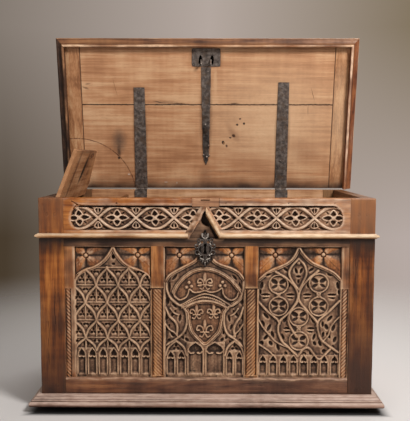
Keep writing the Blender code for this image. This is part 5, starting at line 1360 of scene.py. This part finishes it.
def mouldings():
    """Base, string and lid mouldings, mitred at the front corners."""
    face, half = FRONT_Y - 0.0003, HALF_WIDTH + 0.0003
    front, mitre = (0, -1, 0), 0.99
    run_moulding(
        "base_front", "base_moulding_front", BASE_SECTION,
        [(-half, face, BASE_Z), (half, face, BASE_Z)], front, BASE_WOOD, ends=(-mitre, mitre),
    )
    for side, sign in (("left", -1), ("right", 1)):
        for name, node, section, z, wood, slot in (
            ("base", "base_moulding", BASE_SECTION, BASE_Z, BASE_SIDE, "wood_dark"),
            ("string_end", "string_moulding_end", STRING_SECTION, STRING_Z, PLAIN_SIDE, "wood_carved"),
        ):
            path = [(sign * half, face, z), (sign * half, REAR_Y, z)]
            run_moulding(
                f"{name}_{side}", f"{node}_{side}", section, path, (sign, 0, 0), wood,
                (-mitre, 0),
            )
    # The left part painted in shade: its worn edges duller than on the right
    run_moulding(
        "string_front_left", "string_moulding_front_left", STRING_SECTION,
        [(-half, face, STRING_Z), (-0.069, face, STRING_Z)], front, STRING_WOOD,
        (-mitre, 0), fade=-0.35,
    )
    # The right one climbs beside the notch to an upright cut
    climb = [(LOCK_X + 0.003, face, 0.7346), (LOCK_X + 0.0508, face, 0.6521), (half, face, 0.6521)]
    run_moulding(
        "string_front_right", "string_moulding_front_right", STRING_SECTION, climb, front,
        STRING_WOOD, (0, mitre), lean=-1.72,
    )
    # The lips, laid out with the lid shut: the hinge line is the origin, the rim is zero
    down, inner, half = -0.0254, -0.6388, 0.6228
    run_moulding(
        "lip_front", "lid_moulding_front", LIP_SECTION, [(-half, inner, down), (half, inner, down)],
        front, LIP_WOOD, ends=(-mitre, mitre), pose=LID_POSE, wave=0.0006, fade=-0.3,
    )
    half = 0.6230
    for side, sign, wood in (("left", -1, SHADED_LIP), ("right", 1, LIP_SIDE)):
        path = [(sign * half, inner, down), (sign * half, LID_REAR, down)]
        run_moulding(
            f"lip_{side}", f"lid_moulding_{side}", LIP_SECTION, path, (sign, 0, 0), wood,
            ends=(-mitre, 0), pose=LID_POSE, wave=0.0006, fade=-0.2,
        )


def pierced_plate(c, x0, z0):
    """How solid the lock plate is: 1 along its scrolls, 0 at an edge and -1 in its holes."""
    dx, dz = c.x - x0, c.z - z0
    solid = np.full(c.x.shape, -1.0)
    # A thin back plate with lobes, and holes through it
    for x, z, wide, tall in (
        (0, 0, 29, 31), (-29, 9, 12, 11), (29, 9, 12, 11), (-27, -16, 13, 12), (27, -16, 13, 12),
        (-17, 30, 12, 12), (17, 30, 12, 12), (0, 47, 15, 14), (0, 60, 6, 11), (-13, -36, 13, 13),
        (13, -36, 13, 13), (0, -50, 11, 14), (0, -63, 5, 8),
    ):
        lobe = 1 - ((dx - x) / wide) ** 2 - ((dz - z) / tall) ** 2
        solid = np.where(lobe > 0, np.maximum(solid, np.minimum(lobe, 0.05)), solid)
    for side in (-1, 1):
        for x, z, wide, tall in (
            (17, -22, 2.6, 3.4), (12, 24, 4.6, 4.2), (30, 9, 4.0, 4.4), (27, -15, 4.2, 4.6),
            (22, 31, 3.0, 3.0), (6, 45, 2.4, 5.0), (12, -31, 3.8, 3.8), (5, -50, 2.2, 4.0),
        ):
            solid[((dx - side * x) / wide) ** 2 + ((dz - z) / tall) ** 2 < 1] = -1
    strokes = [([(0, -64), (0, -20)], 2.2), ([(0, 22), (0, 58)], 2.2), ([(-20, 33), (20, 33)], 2.0)]
    for side in (-1, 1):
        strokes += [
            (ring(side * 8, -3, 16.5, -70, 250), 2.2), (ring(side * 12, 25, 7.5, 0, 360), 2.4),
            (ring(side * 31, 10, 7.5, 0, 360), 2.4), (ring(side * 29, -14, 8.0, 0, 360), 2.4),
            (ring(side * 12, -30, 7.0, 0, 360), 2.4), (ring(side * 23, 32, 6.0, 0, 360), 2.2),
            (through(sided([(3, 38), (11, 44), (12, 56), (5, 50), (3, 40)], 0, 0, side)), 2.6),
        ]
    for line, half in strokes:
        line = np.asarray(line, float) + (x0, z0)
        rows, cols, away, _ = c.near(line, half)
        solid[rows, cols] = np.maximum(solid[rows, cols], 1 - (away / half) ** 2)
    # Beads
    for x, z, size in (
        (-17, -43, 4.5), (17, -43, 4.5), (-10, -52, 4.2), (10, -52, 4.2), (0, -44, 4.6),
        (0, -60, 4.4), (-27, 22, 3.6), (27, 22, 3.6), (0, 30, 4.4),
    ):
        solid = np.maximum(solid, 1 - ((dx - x) / size) ** 2 - ((dz - z) / size) ** 2)
    return solid


def escutcheon():
    """The pierced lock plate: scrolls about a keyhole, a crest above and beads below."""
    x0, z0 = LOCK_X * 1000, -186.0
    c = Carving((x0 - 42, x0 + 42), (z0 - 72, z0 + 72), step=0.8)
    dx, dz = c.x - x0, c.z - z0
    solid = pierced_plate(c, x0, z0)
    # The raised middle with its keyhole, strokes painted light on their crowns and dark at their edges,
    # and painted highlights along the scrolls
    boss = 1 - (dx / 15) ** 2 - (dz / 27) ** 2
    solid = np.where(boss > 0, np.maximum(solid, 0.20 + 0.12 * boss), solid)
    foot = np.interp(dz, [-20, -12, -6, 14], [6.6, 5.6, 3.2, 3.6])
    key = (np.hypot(dx, dz - 12) < 6.0) | ((np.abs(dx) < foot) & (np.abs(dz + 4) < 16))
    level = np.sqrt(np.clip(solid, 0, None))
    c.height = -1.4 * (1 - level)
    c.rub = 1.15 * level - 0.95 + 0.3 * (c.chance.random(c.x.shape) - 0.5)
    c.rub = np.where((boss > 0) & (solid < 0.45), 0.04, c.rub)
    for side in (-1, 1):
        for line in (
            ring(side * 12, -8, 16, 270 + side * 12, 270 + side * 62),
            ring(side * 9, 12, 12, 90 - side * 10, 90 - side * 75),
            sided([(3, 38), (10, 45), (11, 55)], 0, 0, side),
            sided([(6, -40), (17, -36)], 0, 0, side),
            sided([(2, -52), (8, -46)], 0, 0, side),
            sided([(28, 6), (34, 14)], 0, 0, side),
        ):
            rows, cols, away, _ = c.near(np.asarray(line, float) + (x0, z0), 2.4)
            shine = np.where(solid[rows, cols] > 0, 1.1 - (away / 2.4) ** 2, -1)
            c.rub[rows, cols] = np.maximum(c.rub[rows, cols], shine)
    # The keyhole is kept as a surface painted black as shade
    c.rub[key] = -1.0
    c.piece(
        "lock_plate_pierced", "escutcheon", BLACK_IRON, "iron", FRONT_Y - 0.0022, FRONT_Y - 0.0003,
        keep=(solid >= 0) | key,
    )


def catch():
    """The lid's flush catch plate with its staples' slots, and the long tapering strap."""
    lock = LOCK_X * 1000
    c = Carving((lock - 63.5, lock + 63.5), (-634.3, -554.3), step=1.5, seed=31)
    side, end = 63.5 - np.abs(c.x - lock), 40 - np.abs(c.z + 594.3)
    edge = np.clip(1 - np.minimum(side, end) / 3.0, 0, 1)
    c.height = -0.5 - 0.9 * edge**2
    c.tool_marks(1.6, 0.6)
    c.rub += 0.35 * (edge > 0.3)
    # The staples' slots, painted black as shade
    for middle in (-31, 20):
        slot = ((c.x - middle) / 7.5) ** 2 + ((c.z + 583) / 21) ** 2 < 1
        c.height = np.where(slot, -2.5, c.height)
        c.rub = np.where(slot, -1.0, c.rub)
    for x, z in ((-61, -626), (49, -626), (-61, -563), (49, -563), (-6, -624)):
        nail = np.hypot(c.x - x, c.z - z)
        c.height = np.where(nail < 4.8, np.where(nail > 3.2, -1.8, -0.1), c.height)
        c.rub = np.where(nail < 4.8, np.where(nail > 3.2, -0.9, 0.7), c.rub)
    keep = np.hypot(np.maximum(5 - side, 0), np.maximum(5 - end, 0)) <= 5
    c.piece(
        "catch_plate_worn", "catch_plate", IRON, "iron", LID_UNDER, 0.0036, keep, LID_POSE
    )
    c = Carving((lock - 24, lock + 24), (-554, -110.8), step=2.0, seed=33)
    half = np.interp(c.z, [-554, -160, -152, -148, -138, -110.8], [24, 15.4, 15.4, 11.5, 13, 0.6])
    side = half - np.abs(c.x - lock)
    edge = np.clip(1 - side / 3.0, 0, 1)
    c.height = -0.5 - 0.8 * edge**2
    c.tool_marks(1.6, 0.6)
    c.rub += 0.4 * (edge > 0.3) - 0.45 * np.clip((c.z + 430) / 180, 0, 1)
    c.piece(
        "catch_strap_hammered", "catch_strap", IRON, "iron", -0.0027, 0.0003, side >= 0, LID_POSE
    )


def nail_heads(name, spots, material, radius=0.0045):
    """Forged nail heads, low uneven domes on the underside of the lid's irons."""
    bm = bmesh.new()
    face = LID_UNDER - 0.003
    for k, (x, y) in enumerate(spots):
        size = radius * (0.85 + 0.3 * ((k * 37) % 10) / 10)
        place = Matrix.Translation((x, y, face)) @ Matrix.Rotation(k * 1.3, 4, "Z")
        place = place @ Matrix.Diagonal((1.0, 0.86, 0.38, 1.0))
        bmesh.ops.create_uvsphere(bm, u_segments=12, v_segments=8, radius=size, matrix=place)
    finish_piece(name, bm, material, "lid", (), sharp=60.0, pose=LID_POSE)


def nails():
    """The nails of the two hinge straps, staggered, and those of the catch's long strap."""
    rows = np.linspace(-0.05, -0.44, 6)
    spots = [
        (x + 0.006 * (-1) ** k, y * stretch)
        for x, stretch in zip(STRAPS_X, (1.0, 1.05))
        for k, y in enumerate(rows)
    ]
    nail_heads("lid_nails", spots, IRON)
    spots = [
        (0.002, -0.535), (-0.009, -0.300), (0.006, -0.205), (0.009, -0.160), (-0.017, -0.162),
        (-0.003, -0.152),
    ]
    nail_heads("strap_nails", spots, BRIGHT_IRON, 0.0042)


star_panel()
shield_panel()
flame_panel()
top_rail()
muntins()
post("left", -POST_OUT, -POST_IN, seed=17, shine=1.3)
post("right", POST_IN, POST_OUT, seed=19, shine=0.7)
bottom_rail()
mouldings()
escutcheon()
catch()
nails()

# Materials of the nodes that stay as they are

KEPT = {
    INSIDE_WOOD: ("rear_top_rail",),
    PLAIN_RAIL: (
        "rear_bottom_rail", "rear_panel_left", "rear_panel_right", "floor_board_1",
        "floor_board_2", "floor_board_3", "till_floor",
    ),
    PLAIN_SIDE: (
        "end_bottom_rail_left", "end_bottom_rail_right", "end_panel_left", "end_panel_right",
        "end_top_rail_left", "end_top_rail_right", "till_side",
    ),
    PLAIN_POST: ("rear_stile_left", "rear_stile_right", "rear_muntin"),
    SHADE_BLACK_OAK: ("bearer_front", "bearer_rear"),
    BLOCK_WOOD: ("rail_repair_block",),
    BARE_BOARD: ("lid_board_front", "lid_board_rear"),
    BARE_CLEAT: ("lid_cleat_left", "lid_cleat_right"),
    TILL_WOOD: ("till_lid",),
    BRIGHT_IRON: ("catch_staple_left", "catch_staple_right"),
    IRON: (
        "lock_case", "lock_bolt", "hinge_strap_left", "hinge_strap_right", "hinge_tail_left",
        "hinge_tail_right", "hinge_pin_left", "hinge_pin_right",
    ),
}
for material, names in KEPT.items():
    for name in names:
        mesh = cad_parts[name].data
        mesh.materials.clear()
        mesh.materials.append(material)

# Floor, light and camera

FLOOR_RADIUS = 9.0


def paper_floor():
    """A round sheet of pale paper that fades into the background."""
    bm = bmesh.new()
    bmesh.ops.create_circle(bm, cap_ends=True, segments=96, radius=FLOOR_RADIUS)
    mesh = bpy.data.meshes.new("studio_floor")
    bm.to_mesh(mesh)
    bm.free()
    floor = bpy.data.objects.new("studio_floor", mesh)
    bpy.context.scene.collection.objects.link(floor)
    material, tree = blank("studio_paper")
    place = add(tree, "ShaderNodeTexCoord").outputs["Object"]
    away = add(tree, "ShaderNodeVectorMath", {0: place}, operation="LENGTH").outputs["Value"]
    fade = add(
        tree, "ShaderNodeMapRange", {0: away, 1: 0.7, 2: 3.0}, interpolation_type="SMOOTHSTEP"
    )
    # Under the chest the paper lies in deep shade, over this half width and depth
    wide, deep = 0.655, 0.352
    spread = add(
        tree, "ShaderNodeMapping",
        {"Vector": place, "Location": (0, 0.010, 0), "Scale": (1 / wide, 1 / deep, 0)},
    )
    spread = add(tree, "ShaderNodeVectorMath", {0: spread}, operation="ABSOLUTE").outputs[0]
    spread = add(tree, "ShaderNodeSeparateXYZ", {0: spread})
    spread = add(
        tree, "ShaderNodeMath", {0: spread.outputs["X"], 1: spread.outputs["Y"]}, operation="MAXIMUM"
    )
    shade = add(
        tree, "ShaderNodeMapRange", {0: spread, 1: 0.97, 2: 1.06, 3: 1.0, 4: 0.0},
        interpolation_type="SMOOTHSTEP",
    )
    tint = mark(tree, linear("#E2DCD8"), shade, "#0C0A08")
    paper = add(tree, "ShaderNodeBsdfPrincipled", {"Base Color": tint, "Roughness": 0.8})
    clear = add(tree, "ShaderNodeBsdfTransparent")
    surface = add(tree, "ShaderNodeMixShader", {0: fade, 1: paper, 2: clear})
    add(tree, "ShaderNodeOutputMaterial", {"Surface": surface})
    mesh.materials.append(material)


def surroundings():
    """A soft grey gradient for camera and reflections, and an even dim light on the object."""
    world = bpy.data.worlds.new("studio_grey")
    bpy.context.scene.world = world
    world.use_nodes = True
    tree = world.node_tree
    tree.nodes.clear()
    way = add(tree, "ShaderNodeTexCoord").outputs["Generated"]
    parts = add(tree, "ShaderNodeSeparateXYZ", {0: way})
    level = add(
        tree, "ShaderNodeMath", {0: parts.outputs["X"], 1: 1.5, 2: 0.5}, operation="MULTIPLY_ADD"
    )
    # Painted light on the backdrop: dark low on the left, pale low on the right
    lower = add(
        tree, "ShaderNodeValToRGB", {"Fac": level},
        ramp=[(0.06, "#483C2E"), (0.50, "#9C9085"), (0.94, "#B6A9A3")],
    )
    upper = add(
        tree, "ShaderNodeValToRGB", {"Fac": level},
        ramp=[(0.06, "#857B72"), (0.50, "#B3A69E"), (0.94, "#82745F")],
    )
    lift = add(tree, "ShaderNodeMapRange", {0: parts.outputs["Z"], 1: -0.12, 2: 0.18})
    backdrop = add(
        tree, "ShaderNodeMix", {0: lift, 6: lower.outputs[0], 7: upper.outputs[0]}, data_type="RGBA"
    ).outputs[2]
    path = add(tree, "ShaderNodeLightPath")
    seen = add(
        tree, "ShaderNodeMath", {0: path.outputs["Is Camera Ray"], 1: path.outputs["Is Glossy Ray"]},
        operation="MAXIMUM",
    )
    seen = add(
        tree, "ShaderNodeMath", {0: seen, 1: path.outputs["Is Transmission Ray"]},
        operation="MAXIMUM",
    )
    shown = add(tree, "ShaderNodeBackground", {"Color": backdrop, "Strength": 1.0})
    light = add(tree, "ShaderNodeBackground", {"Color": linear("#F4F1EC"), "Strength": 0.24})
    both = add(tree, "ShaderNodeMixShader", {0: seen, 1: light, 2: shown})
    add(tree, "ShaderNodeOutputWorld", {"Surface": both})


def lamps():
    """Plain soft lamps, with their place, aim, size in metres and power in watts."""
    for name, place, aim, size, power in (
        ("key_lamp", (1.7, -2.2, 3.1), (0.05, 0.0, 0.65), 0.8, 118),
        ("fill_lamp", (-2.4, -2.8, 1.7), (-0.1, 0.0, 0.7), 2.0, 22),
        ("rear_lamp", (0.6, 2.6, 3.0), (0.0, 0.0, 0.8), 2.0, 45),
    ):
        data = bpy.data.lights.new(name, "AREA")
        data.size = size
        data.energy = power
        lamp = bpy.data.objects.new(name, data)
        lamp.location = place
        lamp.rotation_euler = (Vector(aim) - Vector(place)).to_track_quat("-Z", "Y").to_euler()
        bpy.context.scene.collection.objects.link(lamp)


def photo_camera():
    """The camera, 2.4 m before the front and a little above the rim, turned down 5 degrees."""
    heading, down, roll = 0.0054, 0.0846, 0.0019
    data = bpy.data.cameras.new("camera")
    data.lens = 57.95
    data.sensor_width = 36.0
    data.sensor_fit = "HORIZONTAL"
    camera = bpy.data.objects.new("camera", data)
    camera.location = (0.0064, -2.72526, 0.960)
    camera.matrix_world = (
        Matrix.Translation(camera.location)
        @ Matrix.Rotation(heading, 4, "Z")
        @ Matrix.Rotation(math.pi / 2 - down, 4, "X")
        @ Matrix.Rotation(roll, 4, "Z")
    )
    bpy.context.scene.collection.objects.link(camera)
    bpy.context.scene.camera = camera


paper_floor()
surroundings()
lamps()
photo_camera()
bpy.context.scene.view_settings.view_transform = "Standard"
